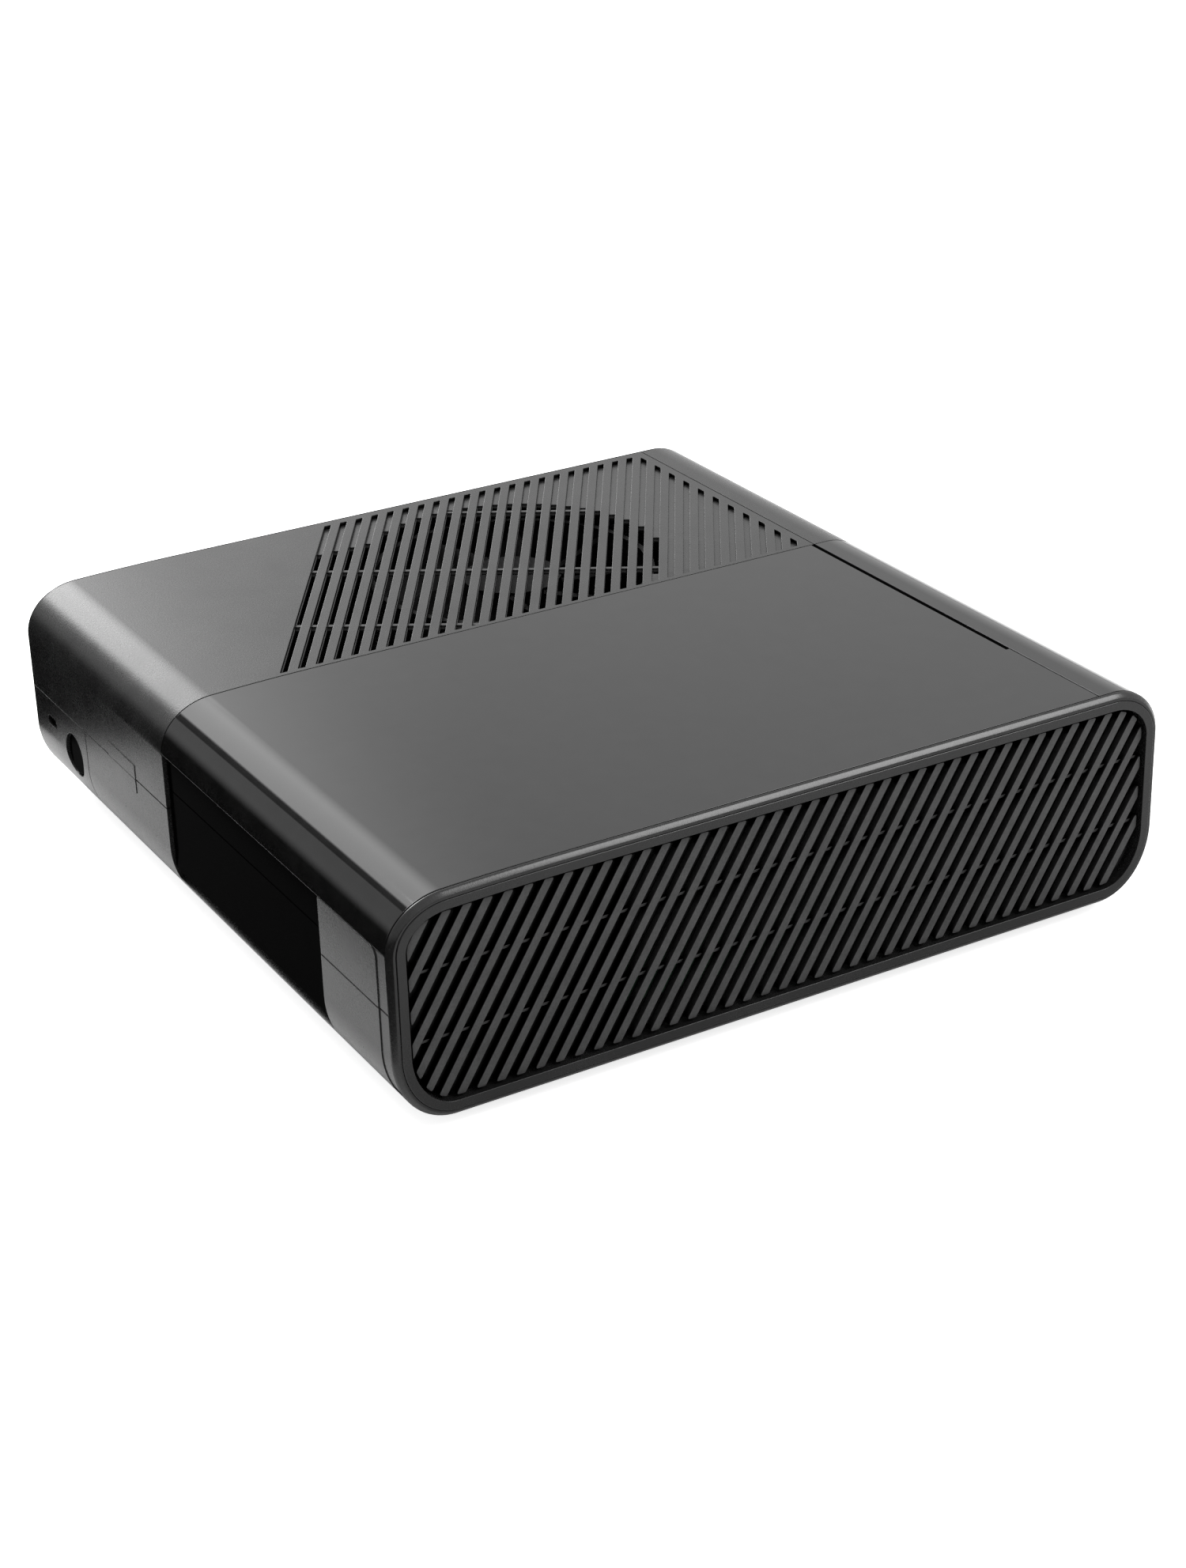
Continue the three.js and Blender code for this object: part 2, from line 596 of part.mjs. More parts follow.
function mainboard() {
  const notch = box(PCB.x0 - 1, -104, PCB.y0 - 1, -40, PCB.z0 - 1, PCB.z1 + 1);
  const holes = BRIDGE.pillars.map((x) => discZ(x, BRIDGE.y1 - 8, 4, PCB.z0 - 1, PCB.z1 + 1, 4));
  return cut(box(PCB.x0, PCB.x1, PCB.y0, PCB.y1, PCB.z0, PCB.z1), notch, ...holes);
}

function processor() {
  const z = PCB.z1 + GAP;
  return join(
    box(FAN.x - 22, FAN.x + 22, FAN.y - 22, FAN.y + 22, z, z + 1.4),
    box(FAN.x - 15, FAN.x + 15, FAN.y - 15, FAN.y + 15, z + 1.2, z + 3),
  );
}

function heatsink() {
  const z = PCB.z1 + GAP + 3 + GAP;
  const [half, high] = [36, z + 19];
  const base = box(FAN.x - half, FAN.x + half, FAN.y - half, FAN.y + half, z, z + 3);
  const fins = [];
  for (let x = FAN.x - half; x <= FAN.x + half - 1; x += 5.0) {
    fins.push(box(x, x + 1.1, FAN.y - half, FAN.y + half, z + 2.8, high));
  }
  return join(base, ...fins);
}

const FAN_FLOOR = 42.5;

function fanHousing() {
  const wall = ringZ(FAN.x, FAN.y, FAN.radius + 0.8, FAN.radius + 3, FAN_FLOOR, ROOF - 2.5, 32);
  const hub = discZ(FAN.x, FAN.y, 15, FAN_FLOOR, FAN_FLOOR + 3, 8);
  const spokes = [0, 1, 2, 3].map((i) => {
    const g = new THREE.BoxGeometry(2 * FAN.radius + 4, 3, 2);
    return solid(g.rotateZ((i * Math.PI) / 4 + 0.3).translate(FAN.x, FAN.y, FAN_FLOOR + 1));
  });
  const lugs = [1, 3, 5, 7].map((i) => {
    const [a, r] = [(i * Math.PI) / 4, FAN.radius + 5];
    return discZ(FAN.x + r * Math.cos(a), FAN.y + r * Math.sin(a), 3.6, FAN_FLOOR, FAN_FLOOR + 3, 4);
  });
  return join(wall, hub, ...spokes, ...lugs);
}

function fanRotor() {
  const [z0, z1] = [FAN_FLOOR + 4, ROOF - 4.5];
  const blades = [];
  for (let i = 0; i < 9; i++) {
    const g = new THREE.BoxGeometry(FAN.radius - 16, 1.4, (z1 - z0) / Math.cos(0.75) - 3);
    g.rotateX(0.75).translate(15 + (FAN.radius - 16) / 2, 0, (z0 + z1) / 2).rotateZ((i * 2 * Math.PI) / 9);
    blades.push(solid(g.translate(FAN.x, FAN.y, 0)));
  }
  return join(discZ(FAN.x, FAN.y, 17, z0, z1, 10), ...blades);
}

const MEMORY = [
  ["memory_chip_front_left", -34, -8],
  ["memory_chip_rear_left", -34, 40],
  ["memory_chip_front_right", 2, -8],
  ["memory_chip_rear_right", 2, 40],
];

add("lower_shield", lowerShield(), DARK_STEEL);
add("upper_shield", upperShield(), DARK_STEEL);
add("mainboard", mainboard(), BOARD);
add("processor", processor(), CHIP);
for (const [name, x, y] of MEMORY) {
  add(name, box(x - 7, x + 7, y - 6, y + 6, PCB.z1 + GAP, PCB.z1 + GAP + 1.2), CHIP);
}
add("heatsink", heatsink(), ALUMINIUM);
add("fan_housing", fanHousing(), INNER_PLASTIC);
add("fan_rotor", fanRotor(), INNER_PLASTIC);

// ---------------------------------------------------------------- hard drive behind the left end
const STORE = { x0: -127, x1: -27, y0: -108, y1: -38, z0: 28, z1: 37.5 };

function hardDrive() {
  const { x0, x1, y0, y1, z0, z1 } = STORE;
  const can = alongZ(rounded(x0, x1, y0, y1, 3), z0, z1, 3);
  const label = box(x0 + 10, x1 - 10, y0 + 8, y1 - 8, z1 - 0.5, z1 + 1);
  return cut(can, label);
}

add("hard_drive", hardDrive(), STEEL);

// ---------------------------------------------------------------- ends
const RIM = 5.3; // inset of the rib field
const FACE = LENGTH / 2;

/** Everything is made for the right end; `side` of -1 mirrors it to the left. */
function atEnd(body, side) {
  return side > 0 ? body : body.mirror([1, 0, 0]);
}

/** Chamfered outer band of an end. */
function endFrame(chamfer) {
  const band = alongX(section(0), CASE_END - 12, FACE - 0.3, 5, chamfer);
  const keep = box(CASE_END + GAP, FACE + 1, FRONT - 1, BACK + 1, 0, TOP + 1);
  return cut(band.intersect(keep), alongX(section(2.3), CASE_END - 1, FACE + 1));
}

/** Flat rim inside the band, with a collar that plugs into the casing. */
function endBezel() {
  const rim = cut(alongX(section(2.6), CASE_END + GAP, FACE), alongX(section(RIM), CASE_END, FACE + 1));
  const collar = cut(
    alongX(section(WALL + GAP), CASE_END - 5, CASE_END + GAP + 0.5),
    alongX(section(RIM), CASE_END - 6, FACE),
  );
  return join(rim, collar);
}

/** Channels between the ribs, cut from a plate in the end plane. */
function ribChannels(x0, x1, outline) {
  let channels = null;
  const half = RIB.channel / 2;
  const at = (z) => (z - RIB_LEVEL) * Math.tan(SLANT);
  for (let i = -6; i < RIB.count + 1; i++) {
    const y = RIB_FIRST + i * RIB.pitch;
    const [low, high] = [FOOT, TOP];
    const channel = alongX(
      polygon([
        [y + at(low) - half, low],
        [y + at(low) + half, low],
        [y + at(high) + half, high],
        [y + at(high) - half, high],
      ]),
      x0,
      x1,
    );
    channels = channels ? channels.add(channel) : channel;
  }
  return channels.intersect(outline);
}

const PLATE = { back: CASE_END - 1.5, front: FACE - 1.3, inset: RIM + 0.9 };

/** Right end: open at the back beyond RIB_OPEN_FROM, where cross-bars tie the ribs together. */
function endGrille() {
  const plate = alongX(section(PLATE.inset), PLATE.back, PLATE.front);
  const zone = (x0, inset, y0, y1) =>
    alongX(section(inset), x0, PLATE.front + 2).intersect(box(x0, FACE + 2, y0, y1, 0, TOP));
  const bars = RIB_BARS.map((z) => box(PLATE.back - 3, FACE + 3, FRONT, BACK, z - 0.8, z + 0.8));
  const closed = zone(PLATE.front - RIB.depth, PLATE.inset + 1, FRONT, RIB_OPEN_FROM);
  const open = cut(zone(PLATE.back - 2, PLATE.inset + 1.6, RIB_OPEN_FROM, BACK), ...bars);
  return cut(plate, ribChannels(PLATE.back - 3, PLATE.front + 3, join(closed, open)));
}

const DOOR = { y0: -112, y1: -34, z0: 22, z1: 44, thick: 2.4 };

function doorOpening(grow, x0, x1) {
  return alongX(rounded(DOOR.y0 - grow, DOOR.y1 + grow, DOOR.z0 - grow, DOOR.z1 + grow, 0.2), x0, x1, 1);
}

/** The left end: the same plate, closed all over, with a door in front of the hard drive. */
function leftGrille() {
  const plate = alongX(section(PLATE.inset), PLATE.back, PLATE.front);
  const field = alongX(section(PLATE.inset + 1), PLATE.front - RIB.depth, PLATE.front + 1);
  const ribbed = cut(field, doorOpening(2.2, PLATE.back - 1, FACE));
  const channels = ribChannels(PLATE.back, PLATE.front + 1, ribbed);
  const pinHole = discZ(-DOOR_PIN.x, DOOR_PIN.y, 0.8, DOOR.z0 - 2.2, DOOR.z1 + 2.2, 4);
  return cut(plate, channels, doorOpening(0.4, PLATE.back - 1, FACE), pinHole);
}

/** The door turns on a pin along its rear edge and has a finger notch at its front edge. */
const DOOR_PIN = { x: -(PLATE.front - DOOR.thick / 2), y: DOOR.y1 - DOOR.thick / 2 };

function hardDriveDoor() {
  const { x, y } = DOOR_PIN;
  const panel = box(-PLATE.front, DOOR.thick - PLATE.front, DOOR.y0, y, DOOR.z0, DOOR.z1);
  const knuckle = discZ(x, y, DOOR.thick / 2, DOOR.z0, DOOR.z1, 6);
  const bore = discZ(x, y, 0.8, DOOR.z0 - 1, DOOR.z1 + 1, 4);
  const notch = box(-FACE - 1, -PLATE.front + 1.1, DOOR.y0 - 1, DOOR.y0 + 4, 30, 36);
  return cut(join(panel, knuckle), bore, notch);
}

add("end_frame_right", endFrame(1.9), FRAME);
add("end_bezel_right", endBezel(), FRAME);
add("end_grille_right", endGrille(), RIBS);
add("end_frame_left", atEnd(endFrame(0.7), -1), FRAME);
add("end_bezel_left", atEnd(endBezel(), -1), FRAME);
add("end_grille_left", atEnd(leftGrille(), -1), RIBS);
add("hard_drive_door", hardDriveDoor(), RIBS);
add("door_pin", discZ(DOOR_PIN.x, DOOR_PIN.y, 0.5, DOOR.z0 - 2, DOOR.z1 + 2, 4), STEEL);

// ---------------------------------------------------------------- ports at the back
const PORT_FACE = BACK - 1.2;

function portPanel() {
  const plate = alongY(
    rounded(PORT_PANEL.x0, PORT_PANEL.x1, PORT_PANEL.z0, PORT_PANEL.z1, 2),
    BACK - 4.4,
    BACK - 2.4,
    3,
  );
  const windows = PORTS.map(({ x, z, width, height }) =>
    box(x - width / 2 - 1.4, x + width / 2 + 1.4, BACK - 6, BACK, z - height / 2 - 1.4, z + height / 2 + 1.4),
  );
  return cut(plate, ...windows);
}

function port({ x, z, width, height }) {
  const [w, h] = [width / 2, height / 2];
  const block = box(x - w - 1, x + w + 1, BACK - 19, PORT_FACE - 1, z - h - 1, z + h + 1);
  const hollow = box(x - w, x + w, BACK - 15, BACK, z - h, z + h);
  const body = cut(block, hollow);
  if (height >= 7) return body;
  const tongue = box(x - w + 1.4, x + w - 1.4, BACK - 16, BACK - 5, z + h - 0.9, z + h + 0.2);
  return join(body, tongue);
}

add("port_panel", portPanel(), MATTE);
for (const p of PORTS) add(p.name, port(p), p.height < 7 ? STEEL : SOCKET);

export default group;
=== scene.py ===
"""Looks for a slim two-tone game console, built around its CAD frame.

The casing's skins are drawn flat, as outlines with holes, and wrapped round the casing's cross-section.
Lengths in this script are millimetres, in the frame's own axes: -Y front, +Z up, +X the open ribbed end.
"""

import json
import math

import bpy
import numpy as np
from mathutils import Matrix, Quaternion, Vector
from mathutils.geometry import delaunay_2d_cdt


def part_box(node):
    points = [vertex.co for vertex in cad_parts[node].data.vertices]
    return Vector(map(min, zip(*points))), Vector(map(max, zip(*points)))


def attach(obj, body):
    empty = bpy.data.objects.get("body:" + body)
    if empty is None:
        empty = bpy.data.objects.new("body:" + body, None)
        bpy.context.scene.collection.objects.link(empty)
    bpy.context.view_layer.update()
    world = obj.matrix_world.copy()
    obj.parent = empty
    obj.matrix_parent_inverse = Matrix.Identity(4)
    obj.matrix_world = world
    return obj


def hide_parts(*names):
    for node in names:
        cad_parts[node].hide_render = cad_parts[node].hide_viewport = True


MM = 0.001

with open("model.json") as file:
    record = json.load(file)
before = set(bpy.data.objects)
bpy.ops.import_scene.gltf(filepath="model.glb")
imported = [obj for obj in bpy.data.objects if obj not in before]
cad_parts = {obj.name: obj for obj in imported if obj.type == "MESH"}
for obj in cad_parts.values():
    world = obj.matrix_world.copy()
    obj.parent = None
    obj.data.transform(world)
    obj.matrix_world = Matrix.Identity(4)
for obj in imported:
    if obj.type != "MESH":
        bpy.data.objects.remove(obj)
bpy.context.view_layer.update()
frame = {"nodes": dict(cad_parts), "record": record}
record = frame["record"]
bodies = record["behaviour"]["bodies"]
body_of = {node: body for body, nodes in bodies.items() for node in nodes}
slot_of = {part["node"]: part["material_slot"] for part in record["subparts"]}


def box(node):
    """(x0, x1, y0, y1, z0, z1) of a CAD node."""
    low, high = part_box(node)
    return [c / MM for pair in zip(low, high) for c in pair]


# ---------------------------------------------------------------- sizes
GAP = 0.35  # between pieces that touch
WALL = 3
CASE_END = box("upper_shell")[1]
FRONT, TOP = box("upper_shell")[2], box("gloss_cover")[5]
BACK, FOOT = box("rear_strip_matte")[3], box("lower_shell")[4]
SPLIT = box("upper_shell")[4] - GAP / 2
SEAM = box("gloss_cover")[0] - GAP / 2
COVER_EDGE = box("gloss_cover")[4]
COVER = 1.5
GROOVE = box("rear_strip_matte")[2] - GAP / 2
WIDE_GROOVE = {"end": 89, "width": 1.2}

TOP_CORNER = (18, 16.5)  # half axes of the rounded edges, along Y and Z
BOTTOM_CORNER = (19, 23)
CROWN = {"start": -77, "end": -114, "drop": 0.7}  # the top falls a little towards the front

BAY = {"left": -18.5, "right": 91, "low": FOOT + 11.7}  # the opening of the glossy front
SHELF = FOOT + 20.5  # where the fixed front panel turns back
BLOCK = {"end": 127, "step": 0.3, "lap": 4, "corner": 3}  # the casing right of the bay steps back at its end
BLOCK_LOW = FOOT + 10
PANEL = {"right": box("button_panel")[1] + GAP / 2, "back": box("button_panel")[3] + GAP / 2}
PANEL_WALL = 1.6  # thin enough for the caps to pass its curved part
CAP = {"radius": 7.1, "half_length": 3.35, "half_height": 1.2}  # the round cap, and the long one
FOOT_HOLE = {"x": 106, "y": 98, "half_x": 14.4, "half_y": 6.4, "corner": 6.3}
SCREW_HOLE = {"x": 118, "y": 70, "radius": 4.2}

SLANT = math.radians(32)
SLOT = {"pitch": 6.155, "width": 2.2, "depth": 1.2, "count": 32, "first": 104.9, "x": -25}
VENT = (-129, -21, -95, 106)  # x0, x1, y0, y1
LOW_VENT = (-108, -21, -95, 0)
FAN = (-69, 19, 52)  # x, y, radius of the open circle above the fan
VENT_BARS = (-112.8, -57.9, -10.7)  # measured along the slots

RIB = {"pitch": 6.26, "width": 3.5, "depth": 2.1, "count": 41, "first": -119.9, "z": FOOT + 38.3}
RIB_FULLER = 0.25  # how much wider the ribs of the open end are than the gaps leave them
RIB_BARS = (FOOT + 25.4, FOOT + 47)
RIB_BAR = {"height": 0.9, "below": 1.1, "depth": RIB["depth"] - 1.0}
RIB_OPEN_FROM = -57
RIM = 5.3  # from the casing's skin to the ribbed plate's opening


# ---------------------------------------------------------------- outlines in the plane
def rectangle(u0, u1, v0, v1):
    return [(u0, v0), (u1, v0), (u1, v1), (u0, v1)]


def arc(u, v, radius, start, end, steps):
    turns = np.radians(np.linspace(start, end, steps + 1))
    return [(u + radius * math.cos(t), v + radius * math.sin(t)) for t in turns]


def rounded(u0, u1, v0, v1, radius, steps=6):
    r = radius
    return [
        *arc(u1 - r, v0 + r, r, -90, 0, steps),
        *arc(u1 - r, v1 - r, r, 0, 90, steps),
        *arc(u0 + r, v1 - r, r, 90, 180, steps),
        *arc(u0 + r, v0 + r, r, 180, 270, steps),
    ]


def capsule(u0, u1, v0, v1, steps=16):
    r = (v1 - v0) / 2
    return [*arc(u1 - r, v0 + r, r, -90, 90, steps), *arc(u0 + r, v0 + r, r, 90, 270, steps)]


def clip(loop, point, normal):
    """The part of a convex outline on the far side of a line from its normal."""
    kept = []
    height = [(p[0] - point[0]) * normal[0] + (p[1] - point[1]) * normal[1] for p in loop]
    for i, (a, h) in enumerate(zip(loop, height)):
        b, k = loop[i - 1], height[i - 1]
        if (h <= 0) != (k <= 0):
            t = h / (h - k)
            kept.append((a[0] + (b[0] - a[0]) * t, a[1] + (b[1] - a[1]) * t))
        if h <= 0:
            kept.append(a)
    return kept


def band(loop, centre, across, width):
    """The part of a convex outline inside a straight band."""
    shift = [across[0] * width / 2, across[1] * width / 2]
    loop = clip(loop, (centre[0] + shift[0], centre[1] + shift[1]), across)
    if len(loop) < 3:
        return []
    return clip(loop, (centre[0] - shift[0], centre[1] - shift[1]), (-across[0], -across[1]))


def area(loop):
    p = np.array(loop)
    q = np.roll(p, -1, 0)
    return float((p[:, 0] * q[:, 1] - q[:, 0] * p[:, 1]).sum() / 2)


def thinned(loop, gap):
    """The outline without the gentle bends that lie closer than a gap to one of its sharp corners."""
    sharp, sharp_turn = [], 0.4
    for i, p in enumerate(loop):
        a, b = Vector(p) - Vector(loop[i - 1]), Vector(loop[(i + 1) % len(loop)]) - Vector(p)
        if a.angle(b) > sharp_turn:
            sharp.append(p)
    return [p for p in loop if p in sharp or min(math.dist(p, corner) for corner in sharp) > gap]


def soften(loop, radius, steps=3):
    """Rounds the sharp corners of an outline."""
    loop = [p for i, p in enumerate(loop) if math.dist(p, loop[i - 1]) > 0.02]
    result = []
    for i, p in enumerate(loop):
        a, b = Vector(loop[i - 1]) - Vector(p), Vector(loop[(i + 1) % len(loop)]) - Vector(p)
        bend = a.angle(b)
        reach = min(radius / math.tan(bend / 2), 0.45 * a.length, 0.45 * b.length) if bend < 2.7 else 0
        if reach == 0:
            result.append(p)
            continue
        start, end = Vector(p) + a.normalized() * reach, Vector(p) + b.normalized() * reach
        for k in range(steps + 1):
            t = k / steps
            corner = start * (1 - t) ** 2 + Vector(p) * 2 * t * (1 - t) + end * t**2
            result.append(tuple(corner))
    return result


# ---------------------------------------------------------------- surfaces that an outline is wrapped on
class Section:
    """The casing's cross-section in (Y, Z), walked from the middle of the top towards the back."""

    def __init__(self):
        self.samples = []
        ty, tz = TOP_CORNER
        by, bz = BOTTOM_CORNER
        self.corner(BACK - ty, TOP - tz, ty, tz, 90, 0)
        self.corner(BACK - by, FOOT + bz, by, bz, 0, -90)
        self.corner(FRONT + by, FOOT + bz, by, bz, -90, -180)
        slope = math.atan(2 * CROWN["drop"] / (CROWN["start"] - CROWN["end"]))
        high, low = TOP - CROWN["drop"], TOP - tz
        ty = CROWN["end"] - FRONT
        for _ in range(4):
            first = math.atan(math.tan(slope) * ty / (high - low))
            ty = (CROWN["end"] - FRONT) / (1 - math.sin(first))
        tz = (high - low) / math.cos(first)
        self.corner(FRONT + ty, low, ty, tz, 180, 90 + math.degrees(first))
        for t in np.linspace(1, 0, 9)[1:]:
            y = CROWN["start"] + (CROWN["end"] - CROWN["start"]) * t
            tilt = math.atan(math.tan(slope) * t)
            self.samples.append((y, TOP - CROWN["drop"] * t * t, -math.sin(tilt), math.cos(tilt)))
        self.samples = np.array([(0, TOP, 0, 1), *self.samples, (0, TOP, 0, 1)])
        steps = np.linalg.norm(np.diff(self.samples[:, :2], axis=0), axis=1)
        self.at = np.concatenate([[0], np.cumsum(steps)])
        self.length = self.at[-1]

    def corner(self, y, z, half_y, half_z, start, end, steps=20):
        for degrees in np.linspace(start, end, steps + 1):
            c, s = math.cos(math.radians(degrees)), math.sin(math.radians(degrees))
            normal = Vector((c / half_y, s / half_z)).normalized()
            self.samples.append((y + half_y * c, z + half_z * s, *normal))

    def values(self, v):
        return [float(np.interp(v % self.length, self.at, column)) for column in self.samples.T]

    def place(self, x, v):
        """Point, normal and the two directions of the outline's axes."""
        y, z, ny, nz = self.values(v)
        n = Vector((0, ny, nz)).normalized()
        return Vector((x, y, z)), n, Vector((1, 0, 0)), Vector((0, n.z, -n.y))

    def front(self, z):
        """Where the walk passes height z on the front, as a distance before the top's middle."""
        side = self.samples[:, 0] < FRONT + 20
        return float(np.interp(z, self.samples[side, 1], self.at[side])) - self.length

    def back(self, z):
        side = self.samples[:, 0] > BACK - 20
        return float(np.interp(-z, -self.samples[side, 1], self.at[side]))

    def under(self, y):
        """Where the walk passes y on the flat underside."""
        return float(self.at[self.samples[:, 1] < FOOT + 0.001].mean()) - y - self.length

    def lines(self, v0, v1):
        """The sampled places between two others, where a wrapped sheet has to bend."""
        turns = [v + k * self.length for k in (-1, 0) for v in self.at[1:-1]]
        return [v for v in turns if v0 + 0.6 < v < v1 - 0.6]

    def ring(self, inset):
        """(y, z, normal y, normal z) all the way round, pulled in from the skin."""
        return [(y - ny * inset, z - nz * inset, ny, nz) for y, z, ny, nz in self.samples[1:-1]]


class Flat:
    """A plane through `origin` with the given axes for the outline."""

    def __init__(self, origin, u, v):
        self.origin, self.u, self.v = Vector(origin), Vector(u), Vector(v)
        self.n = self.u.cross(self.v)

    def place(self, u, v):
        return self.origin + self.u * u + self.v * v, self.n, self.u, self.v


def facing_front(y):
    return Flat((0, y, 0), (1, 0, 0), (0, 0, 1))


def facing_right(x):
    return Flat((x, 0, 0), (0, 1, 0), (0, 0, 1))


def facing_up(z):
    return Flat((0, 0, z), (1, 0, 0), (0, 1, 0))


def facing_down(z):
    """The outline's second axis runs along -Y."""
    return Flat((0, 0, z), (1, 0, 0), (0, -1, 0))


casing = Section()


# ---------------------------------------------------------------- meshes with exact normals
class Skin:
    """Faces with a normal for each of their corners."""

    def __init__(self):
        self.points, self.faces, self.normals = [], [], []

    def add(self, points):
        self.points += points
        return list(range(len(self.points) - len(points), len(self.points)))

    def face(self, ids, normals):
        a, b, c = (self.points[i] for i in (ids[0], ids[1], ids[-1]))
        away = (b - a).cross(c - a)
        if away.length < 1e-9 and len(ids) == 4:
            away = (self.points[ids[2]] - b).cross(c - b)
        if away.dot(sum(normals, Vector((0, 0, 0)))) < 0:
            ids, normals = ids[::-1], normals[::-1]
        self.faces.append(ids)
        self.normals.append(normals)

    def strip(self, first, second, normals_first, normals_second):
        """Quads between two closed rings. The normals are (at the edge's start, at its end) pairs."""
        for i in range(len(first)):
            j = (i + 1) % len(first)
            self.face(
                [first[i], first[j], second[j], second[i]],
                [*normals_first[i], *normals_second[i][::-1]],
            )

    def mirrored(self):
        """The same skin on the other end of the casing."""
        other = Skin()
        flip = Vector((-1, 1, 1))
        other.points = [p * flip for p in self.points]
        other.faces = [f[::-1] for f in self.faces]
        other.normals = [[n * flip for n in ns[::-1]] for ns in self.normals]
        return other

    def make(self, name, node, look=None):
        """The finished piece, which stands for a CAD node and takes its body and, mostly, its material."""
        mesh = bpy.data.meshes.new(name)
        mesh.from_pydata([p * MM for p in self.points], [], self.faces)
        mesh.polygons.foreach_set("use_smooth", [True] * len(self.faces))
        mesh.normals_split_custom_set([n for ns in self.normals for n in ns])
        piece = bpy.data.objects.new(name, mesh)
        bpy.context.scene.collection.objects.link(piece)
        mesh.materials.append(look or looks[slot_of[node]])
        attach(piece, body_of[node])
        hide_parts(node)
        return piece


def split_at(loop, lines):
    """The outline with extra points where it crosses the given values of v."""
    result = []
    for a, b in zip(loop, loop[1:] + loop[:1]):
        result.append(a)
        crossed = [v for v in lines if min(a[1], b[1]) + 0.5 < v < max(a[1], b[1]) - 0.5]
        for v in sorted(crossed, reverse=a[1] > b[1]):
            t = (v - a[1]) / (b[1] - a[1])
            result.append((a[0] + (b[0] - a[0]) * t, v))
    return result


def edge_directions(loop):
    """Away from the material at each point: for insets, and at the start and end of each edge for normals."""
    p = np.array(loop)
    step = np.roll(p, -1, 0) - p
    step /= np.linalg.norm(step, axis=1)[:, None]
    after = np.stack([step[:, 1], -step[:, 0]], 1)
    before = np.roll(after, 1, 0)
    cosine = (after * before).sum(1)[:, None]
    miter = (after + before) / np.maximum(1 + cosine, 0.3)
    smooth = (after + before) / np.linalg.norm(after + before, axis=1)[:, None]
    corner = np.where(cosine > 0.8, smooth, after)
    corner_end = np.roll(np.where(cosine > 0.8, smooth, before), -1, 0)
    return miter, corner, corner_end


def inside(loops, spots):
    """Whether each spot lies in the area between an outline and its holes."""
    a = np.array([p for loop in loops for p in loop])
    b = np.array([p for loop in loops for p in loop[1:] + loop[:1]])
    u, v = np.array(spots)[:, :1], np.array(spots)[:, 1:]
    crosses = (a[:, 1] > v) != (b[:, 1] > v)
    rise = np.where(a[:, 1] == b[:, 1], 1, b[:, 1] - a[:, 1])
    crossing = a[:, 0] + (b[:, 0] - a[:, 0]) * (v - a[:, 1]) / rise
    return (crosses & (crossing > u)).sum(1) % 2 == 1


def clear_of(loops, start, end):
    """Whether a segment crosses no side of the loops, apart from at its own ends."""
    a = np.array([p for loop in loops for p in loop])
    b = np.array([p for loop in loops for p in loop[1:] + loop[:1]])
    start, end = np.array(start), np.array(end)

    def side(origin, direction, spot):
        offset = spot - origin
        return np.sign(np.round(direction[..., 0] * offset[..., 1] - direction[..., 1] * offset[..., 0], 9))

    apart = side(start, end - start, a) * side(start, end - start, b)
    across = side(a, b - a, start) * side(a, b - a, end)
    return not ((apart < 0) & (across < 0)).any()


def triangles(loops, drawn, lines):
    """Triangles of the area between an outline and its holes, as indices into all their points in turn.

    `drawn` is the same loops before they were inset. Points drawn on one of the lines are joined along it.
    """
    points = [p for loop in loops for p in loop]
    levels = np.array([p[1] for loop in drawn for p in loop])
    edges, first = [], 0
    for loop in loops:
        n = len(loop)
        edges += [(first + i, first + (i + 1) % n) for i in range(n)]
        first += n
    bends = []
    for line in lines:
        on_line = sorted(np.flatnonzero(abs(levels - line) < 1e-6), key=lambda i: points[i][0])
        bends += [(int(i), int(j)) for i, j in zip(on_line, on_line[1:])]
    if bends:
        middles = [tuple((np.array(points[i]) + points[j]) / 2) for i, j in bends]
        kept = [edge for edge, keep in zip(bends, inside(loops, middles)) if keep]
        edges += [(i, j) for i, j in kept if clear_of(loops, points[i], points[j])]
    made, _, faces, origins, _, _ = delaunay_2d_cdt([Vector(p) for p in points], edges, [], 0, 1e-6)
    index = [min(o) for o in origins]
    centres = [sum((made[i] for i in f), Vector((0, 0))) / 3 for f in faces]
    return [[index[i] for i in f] for f, keep in zip(faces, inside(loops, centres)) if keep]


def edge(radius, depth, start=0.0, steps=3):
    """Levels of a plate with a rounded top edge: (inset, depth, degrees between the top and the side)."""
    sides = []
    for k in range(steps + 1):
        degrees = 90 * k / steps
        turn = math.radians(degrees)
        sides.append((radius * (1 - math.sin(turn)), start + radius * (1 - math.cos(turn)), degrees))
    return [*sides, (0, depth, 90)]


